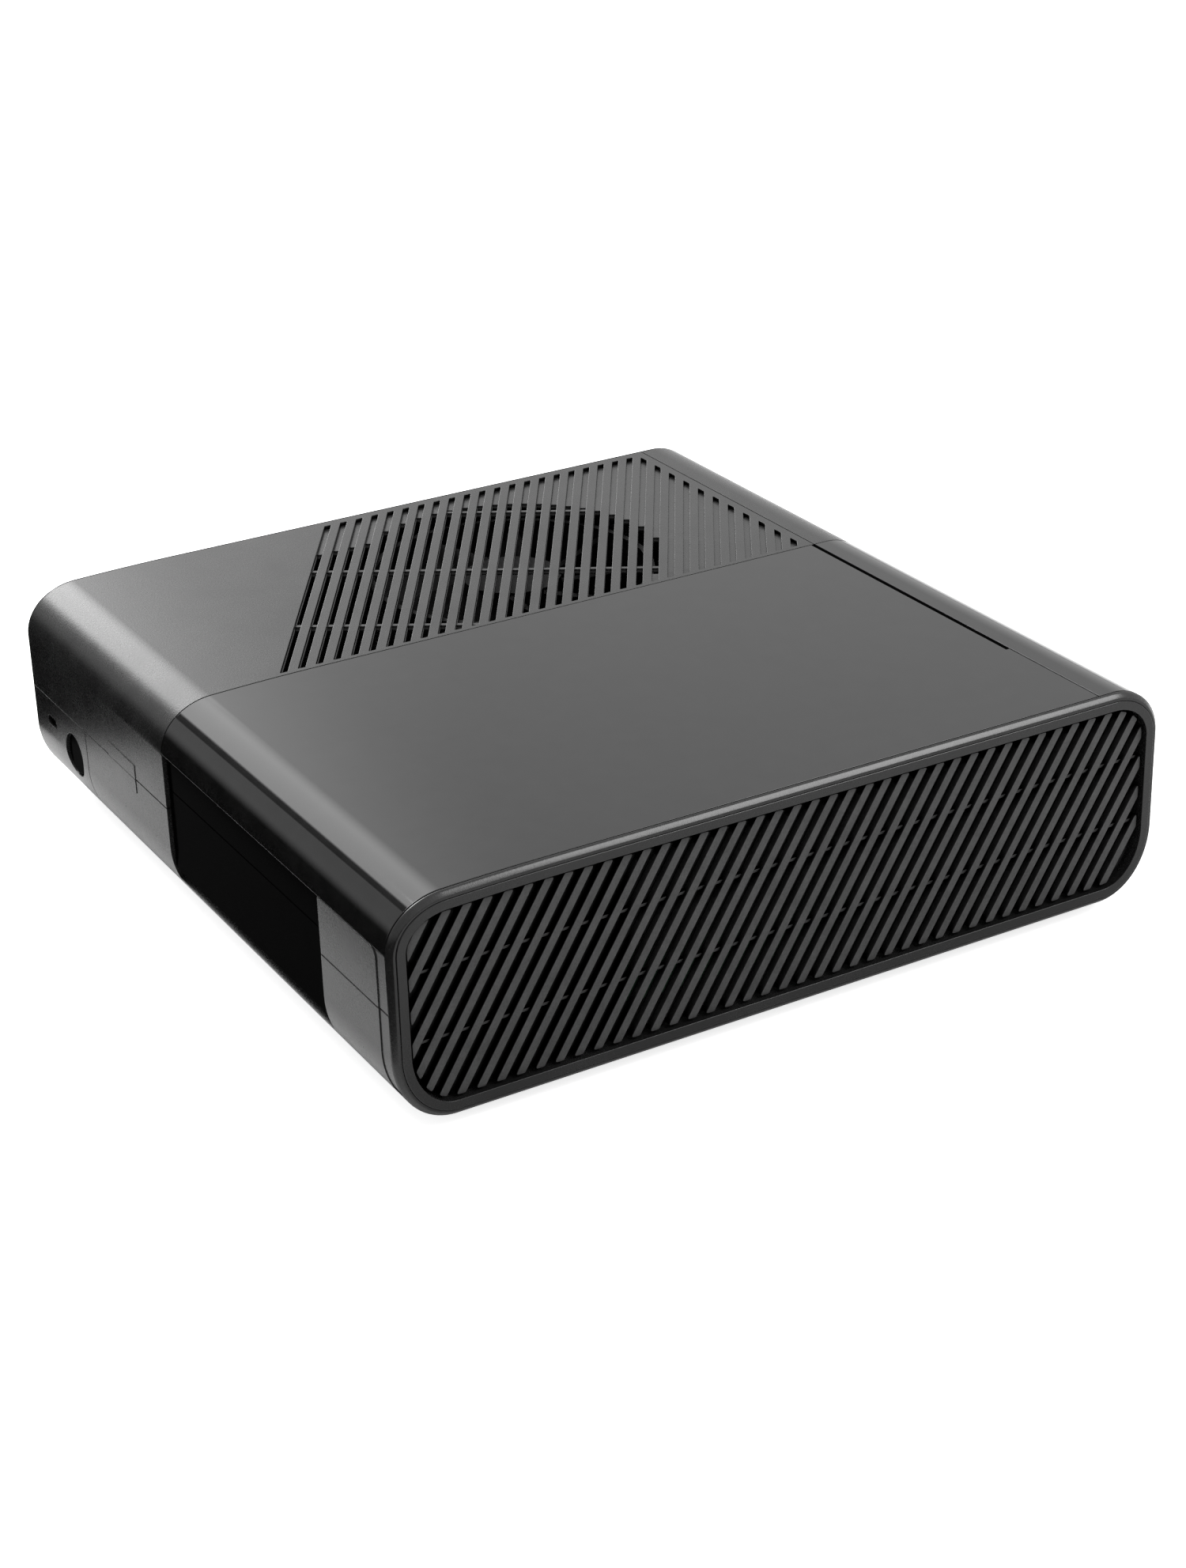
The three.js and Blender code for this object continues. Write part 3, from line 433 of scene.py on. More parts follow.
def plate(skin, surface, outer, holes, levels):
    """Adds a closed plate to the skin, drawn as an outline with holes and wrapped on a surface."""
    lines = surface.lines(min(p[1] for p in outer), max(p[1] for p in outer)) if surface is casing else []
    loops = []
    for i, loop in enumerate([outer, *holes]):
        loop = [p for k, p in enumerate(loop) if math.dist(p, loop[k - 1]) > 1e-4]
        turned = loop[::-1] if (area(loop) > 0) != (i == 0) else loop
        loops.append(split_at(list(turned), lines))
    directions = [edge_directions(loop) for loop in loops]
    before = None
    for k, (inset, depth, degrees) in enumerate(levels):
        c, s = math.cos(math.radians(degrees)), math.sin(math.radians(degrees))
        level = []
        for loop, (miter, corner, corner_end) in zip(loops, directions):
            flat = [tuple(q) for q in np.array(loop) - miter * inset]
            spots = [surface.place(*q) for q in flat]
            ids = skin.add([p - n * depth for p, n, _, _ in spots])
            ends = [spots[(i + 1) % len(spots)] for i in range(len(spots))]
            normals = [
                (n * c + (u * a[0] + v * a[1]) * s, m * c + (e * b[0] + f * b[1]) * s)
                for (_, n, u, v), (_, m, e, f), a, b in zip(spots, ends, corner, corner_end)
            ]
            level.append((flat, ids, normals, [n for _, n, _, _ in spots]))
        if before:
            for (_, a, na, _), (_, b, nb, _) in zip(before, level):
                skin.strip(a, b, na, nb)
        if k == 0:
            first = level
            fill = triangles([flat for flat, *_ in level], loops, lines)
        before = level
    for level, sign in ((first, 1), (before, -1)):
        ids = [i for _, loop_ids, _, _ in level for i in loop_ids]
        normals = [n * sign for *_, loop_normals in level for n in loop_normals]
        for f in fill:
            skin.face([ids[i] for i in f], [normals[i] for i in f])


def hoop(skin, stations):
    """Adds a closed ring round the casing's section.

    Stations are (inset, x, degrees), and None between two of them starts a hard edge.
    """
    groups, rings = [[]], {}
    for before, station in zip([None, *stations], stations):
        if station is None:
            groups.append([groups[-1][-1]])
        elif before is None and groups[-1] and groups[-1][0][:2] == station[:2]:
            groups[-1] = [station]
        else:
            groups[-1].append(station)
    groups.append([groups[-1][-1], groups[0][0]])
    for group in groups:
        if len(group) == 2:
            (i0, x0, _), (i1, x1, _) = group[0], group[-1]
            side = math.degrees(math.atan2(i1 - i0, x1 - x0))
            group[:] = [(i0, x0, side), (i1, x1, side)]
        for a, b in zip(group, group[1:]):
            made = []
            for inset, x, degrees in (a, b):
                spots = casing.ring(inset)
                key = (round(inset, 4), round(x, 4))
                if key not in rings:
                    rings[key] = skin.add([Vector((x, y, z)) for y, z, _, _ in spots])
                c, s = math.cos(math.radians(degrees)), math.sin(math.radians(degrees))
                ns = [Vector((s, ny * c, nz * c)).normalized() for _, _, ny, nz in spots]
                made.append((rings[key], list(zip(ns, ns[1:] + ns[:1]))))
            skin.strip(made[0][0], made[1][0], made[0][1], made[1][1])


# ---------------------------------------------------------------- materials
class Nodes:
    """A small helper that adds shader nodes and joins them."""

    def __init__(self, tree):
        self.tree = tree

    def add(self, kind, **settings):
        node = self.tree.nodes.new("ShaderNode" + kind)
        for key, value in settings.items():
            if hasattr(node, key):
                setattr(node, key, value)
            else:
                node.inputs[key.replace("_", " ")].default_value = value
        return node

    def link(self, source, target):
        self.tree.links.new(source, target)

    def joined(self, operation, a, b):
        node = self.add("Math", operation=operation)
        self.link(a, node.inputs[0])
        self.link(b, node.inputs[1])
        return node.outputs[0]


def surface_look(
    name, tones, roughness, metallic=0.0, blotch=25.0, grain=900.0, relief=0.02, painted_cavity_shade=None, **extra
):
    """A procedural surface: soft blotches between two tones, fine grain in its relief and its roughness.

    Roughness is (smoothest, roughest). Sizes are waves per metre, and relief is the depth of the grain in mm.
    Painted cavity shade is (width in mm, openness that is black, openness that is clear): ambient occlusion
    paints shade into recesses, darkening their colour and their reflections.
    """
    material = bpy.data.materials.new(name)
    material.use_nodes = True
    material.node_tree.nodes.clear()
    n = Nodes(material.node_tree)
    shader = n.add("BsdfPrincipled", Metallic=metallic, **extra)
    n.link(shader.outputs[0], n.add("OutputMaterial").inputs[0])
    place = n.add("TexCoord").outputs["Object"]

    clouds = n.add("TexNoise", Scale=blotch, Detail=4.0, Roughness=0.6)
    fine = n.add("TexNoise", Scale=grain, Detail=2.0, Roughness=0.55)
    n.link(place, clouds.inputs["Vector"])
    n.link(place, fine.inputs["Vector"])
    both = n.joined("ADD", fine.outputs["Fac"], clouds.outputs["Fac"])
    mottle = n.add("MapRange", From_Min=0.65, From_Max=1.35)
    n.link(both, mottle.inputs["Value"])
    ramp = n.add("ValToRGB")
    ramp.color_ramp.elements[0].color = (*tones[0], 1)
    ramp.color_ramp.elements[1].color = (*tones[1], 1)
    n.link(mottle.outputs["Result"], ramp.inputs["Fac"])
    n.link(ramp.outputs["Color"], shader.inputs["Base Color"])
    # painted shade: ambient occlusion darkens the colour and weakens the reflections in recesses narrower
    # than the width
    if painted_cavity_shade:
        width, black, open_air = painted_cavity_shade
        openness = n.add("AmbientOcclusion", Distance=width * MM, samples=16)
        shade = n.add("VectorMath", operation="SCALE")
        n.link(ramp.outputs["Color"], shade.inputs[0])
        n.link(shade.outputs[0], shader.inputs["Base Color"])
        for full, target in ((1.0, shade.inputs["Scale"]), (0.5, shader.inputs["Specular IOR Level"])):
            clear = n.add("MapRange", From_Min=black, From_Max=open_air, To_Min=0.0, To_Max=full)
            n.link(openness.outputs["AO"], clear.inputs["Value"])
            n.link(clear.outputs["Result"], target)

    spread = n.add("MapRange", From_Min=0.6, From_Max=1.4, To_Min=roughness[0], To_Max=roughness[1])
    n.link(both, spread.inputs["Value"])
    n.link(spread.outputs["Result"], shader.inputs["Roughness"])

    if relief:
        bump = n.add("Bump", Distance=relief * MM, Strength=1.0)
        n.link(fine.outputs["Fac"], bump.inputs["Height"])
        n.link(bump.outputs["Normal"], shader.inputs["Normal"])
    return material


def grey(value):
    return (value, value, value)


looks = {
    "matte_shell": surface_look(
        "matte_charcoal",
        (grey(0.005), grey(0.016)),
        (0.23, 0.30),
        blotch=60.0,
        grain=1800.0,
        relief=0.022,
        painted_cavity_shade=(4.0, 0.30, 0.50),
        IOR=1.44,
    ),
    "gloss_shell": surface_look(
        "piano_black", (grey(0.003), grey(0.0057)), (0.042, 0.065), blotch=140.0, grain=180.0, relief=0.0
    ),
    "frame_plastic": surface_look(
        "satin_black", (grey(0.004), grey(0.012)), (0.20, 0.30), grain=1600.0, relief=0.012
    ),
    # painted light: the ribs' black is a lighter copy of the casing's black plastic, standing in for the
    # light on this end
    "rib_plastic": surface_look(
        "rib_black_painted_light",
        (grey(0.020), grey(0.047)),
        (0.32, 0.48),
        blotch=150.0,
        grain=1700.0,
        relief=0.03,
        painted_cavity_shade=(4.0, 0.5, 0.95),
    ),
    "foot_rubber": surface_look(
        "foot_rubber", (grey(0.010), grey(0.016)), (0.75, 0.9), grain=2200.0, relief=0.05
    ),
    "steel": surface_look(
        "zinc_steel",
        (grey(0.30), grey(0.40)),
        (0.28, 0.42),
        metallic=1.0,
        blotch=90.0,
        grain=1400.0,
        relief=0.006,
    ),
    # painted shade: the steel inside is given a near-black colour so that it reads as the shade inside the
    # casing
    "dark_steel": surface_look(
        "steel_painted_shade_black",
        (grey(0.020), grey(0.032)),
        (0.4, 0.55),
        metallic=0.8,
        blotch=70.0,
        grain=1200.0,
        relief=0.01,
    ),
    "circuit_board": surface_look(
        "solder_mask", ((0.006, 0.030, 0.013), (0.010, 0.044, 0.020)), (0.35, 0.5), blotch=300.0, grain=2000.0
    ),
    "chip_package": surface_look(
        "chip_epoxy", (grey(0.008), grey(0.014)), (0.5, 0.65), grain=3000.0, relief=0.01
    ),
    "heatsink_aluminium": surface_look(
        "aluminium",
        (grey(0.45), grey(0.55)),
        (0.25, 0.4),
        metallic=1.0,
        blotch=200.0,
        grain=2400.0,
        relief=0.01,
    ),
    "inner_plastic": surface_look(
        "inner_black", (grey(0.009), grey(0.013)), (0.45, 0.6), grain=1500.0, relief=0.015
    ),
    "gear_plastic": surface_look(
        "acetal", ((0.50, 0.49, 0.44), (0.58, 0.57, 0.52)), (0.4, 0.5), grain=1200.0, relief=0.01
    ),
    "socket_plastic": surface_look(
        "socket_black", (grey(0.004), grey(0.007)), (0.5, 0.6), grain=1800.0, relief=0.01
    ),
}

smoked = surface_look(
    "smoked_black",
    (grey(0.0004), grey(0.0007)),
    (0.10, 0.16),
    blotch=60.0,
    grain=180.0,
    relief=0.0,
    IOR=1.015,  # nearly without reflections
)


# ---------------------------------------------------------------- the casing
ACROSS = (math.sin(SLANT), math.cos(SLANT))  # across the slots of the top
ALONG = (math.cos(SLANT), -math.sin(SLANT))


def slots():
    """The slanted slots of the top: (middle of the slot's line, outline)."""
    found = []
    for i in range(SLOT["count"]):
        middle = Vector((SLOT["x"], SLOT["first"] - i * SLOT["pitch"]))
        slot = band(rectangle(*VENT), middle, ACROSS, SLOT["width"])
        if len(slot) > 2 and abs(area(slot)) > 2:
            found.append((middle, slot))
    return found


def stretches(spans, bars, half_bar):
    """Spans along a line, joined where they overlap and broken at the bars."""
    joined = []
    for low, high in sorted(spans):
        if joined and low <= joined[-1][1]:
            joined[-1][1] = max(high, joined[-1][1])
        else:
            joined.append([low, high])
    for low, high in joined:
        cuts = [low, *(bar + s * half_bar for bar in bars for s in (-1, 1) if low < bar < high), high]
        yield from ((a, b) for a, b in zip(cuts[::2], cuts[1::2]) if b - a > 1)


def vent_openings():
    """Where the slots go right through: above the fan and in the front corner, between the cross-bars."""
    across, along = Vector(ACROSS), Vector(ALONG)
    centre = Vector(FAN[:2])
    found = []
    for middle, slot in slots():
        start = middle.dot(along)
        spans = []
        off = (centre - middle).dot(across)
        if abs(off) < FAN[2] - 1:
            half = math.sqrt(FAN[2] ** 2 - off**2)
            spans.append([centre.dot(along) - half, centre.dot(along) + half])
        part = band(rectangle(*LOW_VENT), middle, ACROSS, 0.02)
        if len(part) > 2:
            reach = [Vector(p).dot(along) for p in part]
            spans.append([min(reach), max(reach)])
        for low, high in stretches(spans, VENT_BARS, 0.8):
            spot = middle + along * ((low + high) / 2 - start)
            opening = band(slot, spot, ALONG, high - low)
            if len(opening) > 2 and abs(area(opening)) > 1:
                found.append(soften(opening, 0.3, 2))
    return found


def upper_shell():
    skin = Skin()
    low, lip = casing.front(SPLIT + GAP / 2), casing.front(COVER_EDGE - GAP)
    right = SEAM - GAP / 2
    groove = GROOVE - GAP / 2
    outline = [
        (-CASE_END, low),
        (BAY["left"], low),
        (BAY["left"], lip),
        (right, lip),
        (right, groove),
        (-CASE_END, groove),
    ]
    cuts = [soften(slot, 0.35) for _, slot in slots()]
    plate(skin, casing, outline, cuts, edge(0.15, SLOT["depth"]))
    plate(skin, casing, outline, vent_openings(), [(0, SLOT["depth"] + 0.02, 0), (0, WALL, 90)])
    under_cover = rectangle(right + 0.05, CASE_END, lip + 2, groove)
    plate(skin, casing, under_cover, [], [(0, COVER + GAP, 0), (0, WALL, 90)])
    end, corner = BLOCK["end"], BLOCK["corner"]
    block = [
        (BAY["right"], low),
        (end, low),
        *arc(end - corner, lip - corner, corner, 0, 90, 8),
        (BAY["right"], lip),
    ]
    plate(skin, casing, block, [], edge(0.2, WALL))
    step = rectangle(end - BLOCK["lap"], CASE_END, low, lip)
    plate(skin, casing, step, [], edge(0.2, WALL - 0.05, BLOCK["step"]))
    return skin.make("upper_casing", "upper_shell")


def gloss_cover():
    skin = Skin()
    left, end = SEAM + GAP / 2, GROOVE - GAP / 2
    outline = [
        (left, casing.front(COVER_EDGE)),
        (CASE_END, casing.front(COVER_EDGE)),
        (CASE_END, end),
        (WIDE_GROOVE["end"], end),
        (WIDE_GROOVE["end"], end - WIDE_GROOVE["width"]),
        (left, end - WIDE_GROOVE["width"]),
    ]
    plate(skin, casing, outline, [], edge(0.2, COVER))
    return skin.make("gloss_top_cover", "gloss_cover")


def rear_strips():
    start, end = GROOVE + GAP / 2, casing.back(SPLIT + GAP / 2)
    for name, node, x0, x1 in (
        ("rear_strip_left", "rear_strip_matte", -CASE_END, SEAM - GAP / 2),
        ("rear_strip_right", "rear_strip_gloss", SEAM + GAP / 2, CASE_END),
    ):
        skin = Skin()
        plate(skin, casing, rectangle(x0, x1, start, end), [], edge(0.2, WALL))
        skin.make(name, node)


def lower_shell():
    skin = Skin()
    high = casing.front(SPLIT - GAP / 2)
    back = casing.back(SPLIT - GAP / 2) - casing.length
    lip = casing.front(BAY["low"])
    panel = PANEL["right"] + GAP / 2, casing.under(PANEL["back"] + GAP / 2)
    step_low = casing.front(BLOCK_LOW)
    outline = [
        (-CASE_END, back),
        (CASE_END, back),
        (CASE_END, step_low),
        (BLOCK["end"], step_low),
        (BLOCK["end"], high),
        (BAY["right"], high),
        (BAY["right"], lip),
        (BAY["left"], lip),
        (BAY["left"], high),
        (panel[0], high),
        (panel[0], panel[1]),
        (-CASE_END, panel[1]),
    ]
    x0, x1, _, _, z0, z1 = box("port_panel")
    below, above = (casing.back(z) - casing.length for z in (z0 - GAP, z1 + GAP))
    holes = [rounded(x0 - GAP, x1 + GAP, above, below, 2)]
    foot, screw = FOOT_HOLE, SCREW_HOLE
    for x in (-1, 1):
        for y in (-1, 1):
            middle, v = foot["x"] * x, casing.under(foot["y"] * y)
            ends = middle - foot["half_x"], middle + foot["half_x"]
            holes.append(rounded(*ends, v - foot["half_y"], v + foot["half_y"], foot["corner"]))
            screw_v = casing.under(screw["y"] * y)
            holes.append(arc(screw["x"] * x, screw_v, screw["radius"], 0, 360, 24)[:-1])
    plate(skin, casing, outline, holes, edge(0.12, WALL))
    step = rectangle(BLOCK["end"] - BLOCK["lap"], CASE_END, step_low + 0.1, high)
    plate(skin, casing, step, [], edge(0.2, WALL - 0.05, BLOCK["step"]))
    return skin.make("lower_casing", "lower_shell")


def button_panel():
    skin = Skin()
    back, top = casing.under(PANEL["back"] - GAP / 2), casing.front(SPLIT - GAP / 2)
    outline = rectangle(-CASE_END, PANEL["right"] - GAP / 2, back, top)
    holes = []
    for node in ("power_button", "pairing_button"):
        face = button_face(node, 0.5)
        holes.append([(x, casing.front(z)) for x, z in face])
    plate(skin, casing, outline, holes, edge(0.12, PANEL_WALL))
    return skin.make("button_corner_panel", "button_panel")


def button_face(node, grow=0.0):
    """Outline of a button's cap in (X, Z)."""
    x0, x1, _, _, z0, z1 = box(node)
    x, z = (x0 + x1) / 2, (z0 + z1) / 2
    if node == "power_button":
        return arc(x, z, CAP["radius"] + grow, 0, 360, 48)[:-1]
    half_x, half_z = CAP["half_length"] + grow, CAP["half_height"] + grow
    return capsule(x - half_x, x + half_x, z - half_z, z + half_z)


def buttons():
    for node, start, dome in (("power_button", FRONT + 1, 1.0), ("pairing_button", FRONT + 0.6, 0.5)):
        x0, x1, _, y1, z0, z1 = box(node)
        x, z = (x0 + x1) / 2, (z0 + z1) / 2
        skin = Skin()
        plate(skin, facing_front(start), button_face(node), [], edge(dome, FRONT + 5 - start, steps=5))
        flange, flange_width = FRONT + 5.02, 1.3
        behind = flange + 1.02
        plate(skin, facing_front(flange), button_face(node, flange_width), [], edge(0.15, 1))
        stem = arc(x, z, 2 if node == "power_button" else 1.2, 0, 360, 20)[:-1]
        plate(skin, facing_front(behind), stem, [], [(0, 0, 0), (0.15, y1 - behind, 60)])
        skin.make(node + "_cap", node, smoked)


def seam_window():
    """A shallow insert across the parting line, with a fine groove where it carries the line on."""
    x0, x1, y0, y1, z0, z1 = box("seam_window")
    skin = Skin()
    groove, depth = 0.16, 0.5
    for low, high in ((z0, SPLIT - groove / 2), (SPLIT + groove / 2, z1)):
        plate(skin, facing_front(y0), soften(rectangle(x0, x1, low, high), 0.4), [], edge(0.08, depth))
    sides = [(0, 0, 0), (0, y1 - y0 - depth, 90)]
    plate(skin, facing_front(y0 + depth), rounded(x0, x1, z0, z1, 0.8), [], sides)
    skin.make("front_insert", "seam_window")


def feet():
    for node in ("foot_front_left", "foot_front_right", "foot_rear_left", "foot_rear_right"):
        x0, x1, y0, y1, z0, z1 = box(node)
        skin = Skin()
        pad = rounded(x0, x1, -y1, -y0, 5.9, 8)
        plate(skin, facing_down(z0), pad, [], edge(0.8, z1 - z0, steps=4))
        skin.make(node + "_pad", node)


def fascia():
    """The fixed front panel, with a shelf below it and a recessed lower part, and the tray's bezel."""
    x0, x1, y0, _, z0, z1 = box("front_fascia")
    skin = Skin()
    shelf, shelf_thick, below = FRONT + 3.35, 1.5, 4.5
    recess = FRONT + 6.2
    shelf_sides = [(0, 0, 0), (0, 4.35, 90)]
    plate(skin, facing_front(y0), rectangle(x0, x1, SHELF - below, z1), [], edge(0.1, 2))
    plate(skin, facing_front(shelf), rectangle(x0, x1, SHELF, SHELF + shelf_thick), [], shelf_sides)
    plate(skin, facing_front(recess), rectangle(x0, x1, z0, SHELF - 0.05), [], edge(0.4, 1.5))
    skin.make("front_fascia_panel", "front_fascia", smoked)
    x0, x1, y0, y1, z0, z1 = box("tray_bezel")
    skin = Skin()
    thick, ledge = 1.3, 2.2
    rear = [(0, 0, 0), (0, y1 - y0 - thick, 90)]
    plate(skin, facing_front(y0), rectangle(x0, x1, z0, z1), [], edge(0.08, thick))
    plate(skin, facing_front(y0 + thick), rectangle(x0, x1, z0, z1 - ledge), [], rear)
    skin.make("disc_tray_bezel", "tray_bezel", smoked)


# ---------------------------------------------------------------- the ends
def end_band(side):
    """The chamfered band round an end, and the flat rim inside it."""
    start, face = CASE_END + GAP, box("end_bezel_right")[1]
    skin = Skin()
    hoop(
        skin,
        [
            (0.2, start, 0),
            (0, start + 0.2, 0),
            (0.15, start + 0.45, 20),
            (0.5, start + 0.95, 42),
            (1.4, start + 1.85, 50),
            (1.75, face - 0.34, 72),
            (2.0, face - 0.3, 90),
            None,
            (2.3, face - 0.3, 90),
            None,
            (2.3, start, 180),
        ],
    )
    rim = Skin()
    hoop(
        rim,
        [
            (2.45, start, 0),
            None,
            (2.45, face - 0.3, 0),
            None,
            (2.45, face - 0.3, 0),
            (2.54, face - 0.09, 45),
            (2.75, face, 90),
            None,
            (RIM - 0.15, face, 90),
            None,
            (RIM - 0.15, face, 90),
            (RIM - 0.04, face - 0.04, 135),
            (RIM, face - 0.15, 180),
            None,
            (RIM, CASE_END - 5, 180),
            None,
            (WALL + GAP, CASE_END - 5, 270),
            None,
            (WALL + GAP, start, 0),
        ],
    )
    if side == "left":
        skin, rim = skin.mirrored(), rim.mirrored()
    skin.make("end_band_" + side, "end_frame_" + side)
    rim.make("end_rim_" + side, "end_bezel_" + side)


def end_outline(inset):
    return [(y, z) for y, z, _, _ in casing.ring(inset)]


LEAN = (math.cos(SLANT), -math.sin(SLANT))  # across the ribs, in (Y, Z)


def stripes(loop, offset, width):
    """The slanted stripes of a convex outline, `offset` pitches on from the middles of the channels."""
    found = []
    for i in range(-6, RIB["count"] + 1):
        centre = (RIB["first"] + (i + offset) * RIB["pitch"], RIB["z"])
        stripe = band(loop, centre, LEAN, width * math.cos(SLANT))
        if len(stripe) > 2 and abs(area(stripe)) > 2:
            found.append(stripe)
    return found


def channels_in(loop):
    return stripes(loop, 0, RIB["width"])


def end_plates():
    plate_back, plate_face, _, _, z0, z1 = box("end_grille_right")
    thick = plate_face - plate_back
    outline, field = end_outline(RIM + 0.9), end_outline(RIM + 1.9)
    inner = clip(end_outline(RIM + 2.5), (RIB_OPEN_FROM, 0), (-1, 0))
    levels = [z0, *RIB_BARS, z1]
    openings = []
    for low, high in zip(levels, levels[1:]):
        zone = band(inner, (0, (low + high) / 2), (0, 1), high - low - 1.6)
        openings += [soften(c, 0.3, 2) for c in channels_in(zone)]
    backing = [(0, RIB["depth"] + 0.02, 0), (0, thick, 90)]
    surface = facing_right(plate_face)
    skin = Skin()
    smallest, rounding = 8, 0.6
    for rib in stripes(outline, 0.5, RIB["pitch"] - RIB["width"] + RIB_FULLER):
        if abs(area(rib)) > smallest:
            plate(skin, surface, soften(thinned(rib, 1.4), rounding), [], edge(0.08, RIB["depth"]))
    plate(skin, surface, outline, openings, backing)
    below_face = facing_right(plate_face - RIB_BAR["below"])
    for level in RIB_BARS:
        bar = band(field, (0, level), (0, 1), RIB_BAR["height"])
        plate(skin, below_face, bar, [], edge(0.2, RIB_BAR["depth"]))
    skin.make("ribbed_grille_right", "end_grille_right")

    _, _, y0, y1, z0, z1 = box("hard_drive_door")
    clearance, frame_width, bridge = 0.4, 2.4, 1.4
    doorway = rectangle(y0 - clearance, y1 + clearance, z0 - clearance, z1 + clearance)
    left, right = y0 - frame_width, y1 + frame_width
    low, high, middle = z0 - frame_width, z1 + frame_width, (z0 + z1) / 2
    channels = []
    for channel in channels_in(field):
        level = band(channel, (0, middle), (0, 1), high - low)
        if not clip(clip(level, (right, 0), (1, 0)), (left, 0), (-1, 0)):
            channels.append(channel)
            continue
        parts = [
            clip(channel, (0, high + bridge), (0, -1)),
            clip(channel, (0, low - bridge), (0, 1)),
            clip(level, (right, 0), (-1, 0)),
            clip(level, (left, 0), (1, 0)),
        ]
        channels += [part for part in parts if len(part) > 2 and abs(area(part)) > 4]
    channels = [soften(channel, 0.35) for channel in channels]
    skin = Skin()
    plate(skin, surface, outline, [doorway, *channels], edge(0.3, RIB["depth"]))
    plate(skin, surface, outline, [doorway], backing)
    skin.mirrored().make("ribbed_plate_left", "end_grille_left")


def hard_drive_door():
    """A panel with the same ribs as the end, a knuckle on its pin and a notch for a finger."""
    _, _, y0, y1, z0, z1 = box("hard_drive_door")
    face = box("end_grille_right")[1]
    thick, rib_depth, seat = 2.4, 1.3, 0.6
    pin = y1 - thick / 2
    grip = {"z": 33, "radius": 3, "reach": 2}
    half, reach = grip["radius"], grip["reach"]
    round_end = arc(y0 + reach, grip["z"], half, -90, 90, 12)
    notch = [(y0, grip["z"] - half), (y0 + reach, grip["z"] - half), *round_end, (y0, grip["z"] + half)]
    outline = [(y0, z0), (pin - seat, z0), (pin - seat, z1), (y0, z1), *notch[::-1]]
    field = rectangle(y0 + 7, pin - 3, z0 + 2, z1 - 2)
    skin = Skin()
    surface = facing_right(face)
    channels = [soften(c, 0.35) for c in channels_in(field)]
    plate(skin, surface, outline, channels, edge(0.25, rib_depth))
    backing = [(0, rib_depth + 0.02, 0), (0, thick, 90)]
    plate(skin, surface, rectangle(y0, pin - seat, z0, z1), [], backing)
    knuckle = arc(face - thick / 2, pin, thick / 2, 0, 360, 32)[:-1]
    pin_hole = 0.8
    bore = arc(face - thick / 2, pin, pin_hole, 0, 360, 20)[:-1]
    plate(skin, facing_up(z1), knuckle, [bore], [(0.1, 0, 0), (0, 0.1, 60), (0, z1 - z0, 90)])
    skin.mirrored().make("ribbed_hard_drive_door", "hard_drive_door")


# ---------------------------------------------------------------- build
upper_shell()
gloss_cover()
rear_strips()
lower_shell()
button_panel()
buttons()
seam_window()
feet()
fascia()
for side in ("left", "right"):
    end_band(side)
end_plates()
hard_drive_door()

for node, piece in frame["nodes"].items():
    if piece.hide_render:
        continue
    piece.data.materials.clear()
    piece.data.materials.append(looks[slot_of[node]])


# ---------------------------------------------------------------- floor, light and camera
# Places on the stage are metres from the origin.
CAMERA = {"place": (0.76204, -0.42548, 0.44372), "azimuth": 60.3, "down": 25.846, "roll": -1.63}
LENS = {"width": 36, "focal": 68.17, "near": 0.05, "far": 20}
FLOOR = {"half": 60, "white": 0.86, "glow": 0.75}  # the glow is seen by the camera and lights nothing
PAINTED_REFLECTION = {  # how much of the floor reflections show, painted: beyond these drawn edges reflections see black
    "inward": (0.551, 0.834, 0),  # the left edge, by its direction and its distance from the origin
    "edge": -0.219,
    "edge_blur": 0.003,
    "front": -0.173,
    "front_blur": (0.006, 0.002),
    "aside": (0.10, 0.15),  # fades to the right from one X to the other
    "dim": (1.0, 0.6),
}
SKY, CARD, STRIP = 0.96, 2.16, 7.2  # strengths of the sky and of two bright shapes low on the left
FRAME_SHADE = 0.2  # what a dark upright bar in front of them lets through
SKY_FAR_LEFT = 0.75  # what is left of the sky beyond that bar


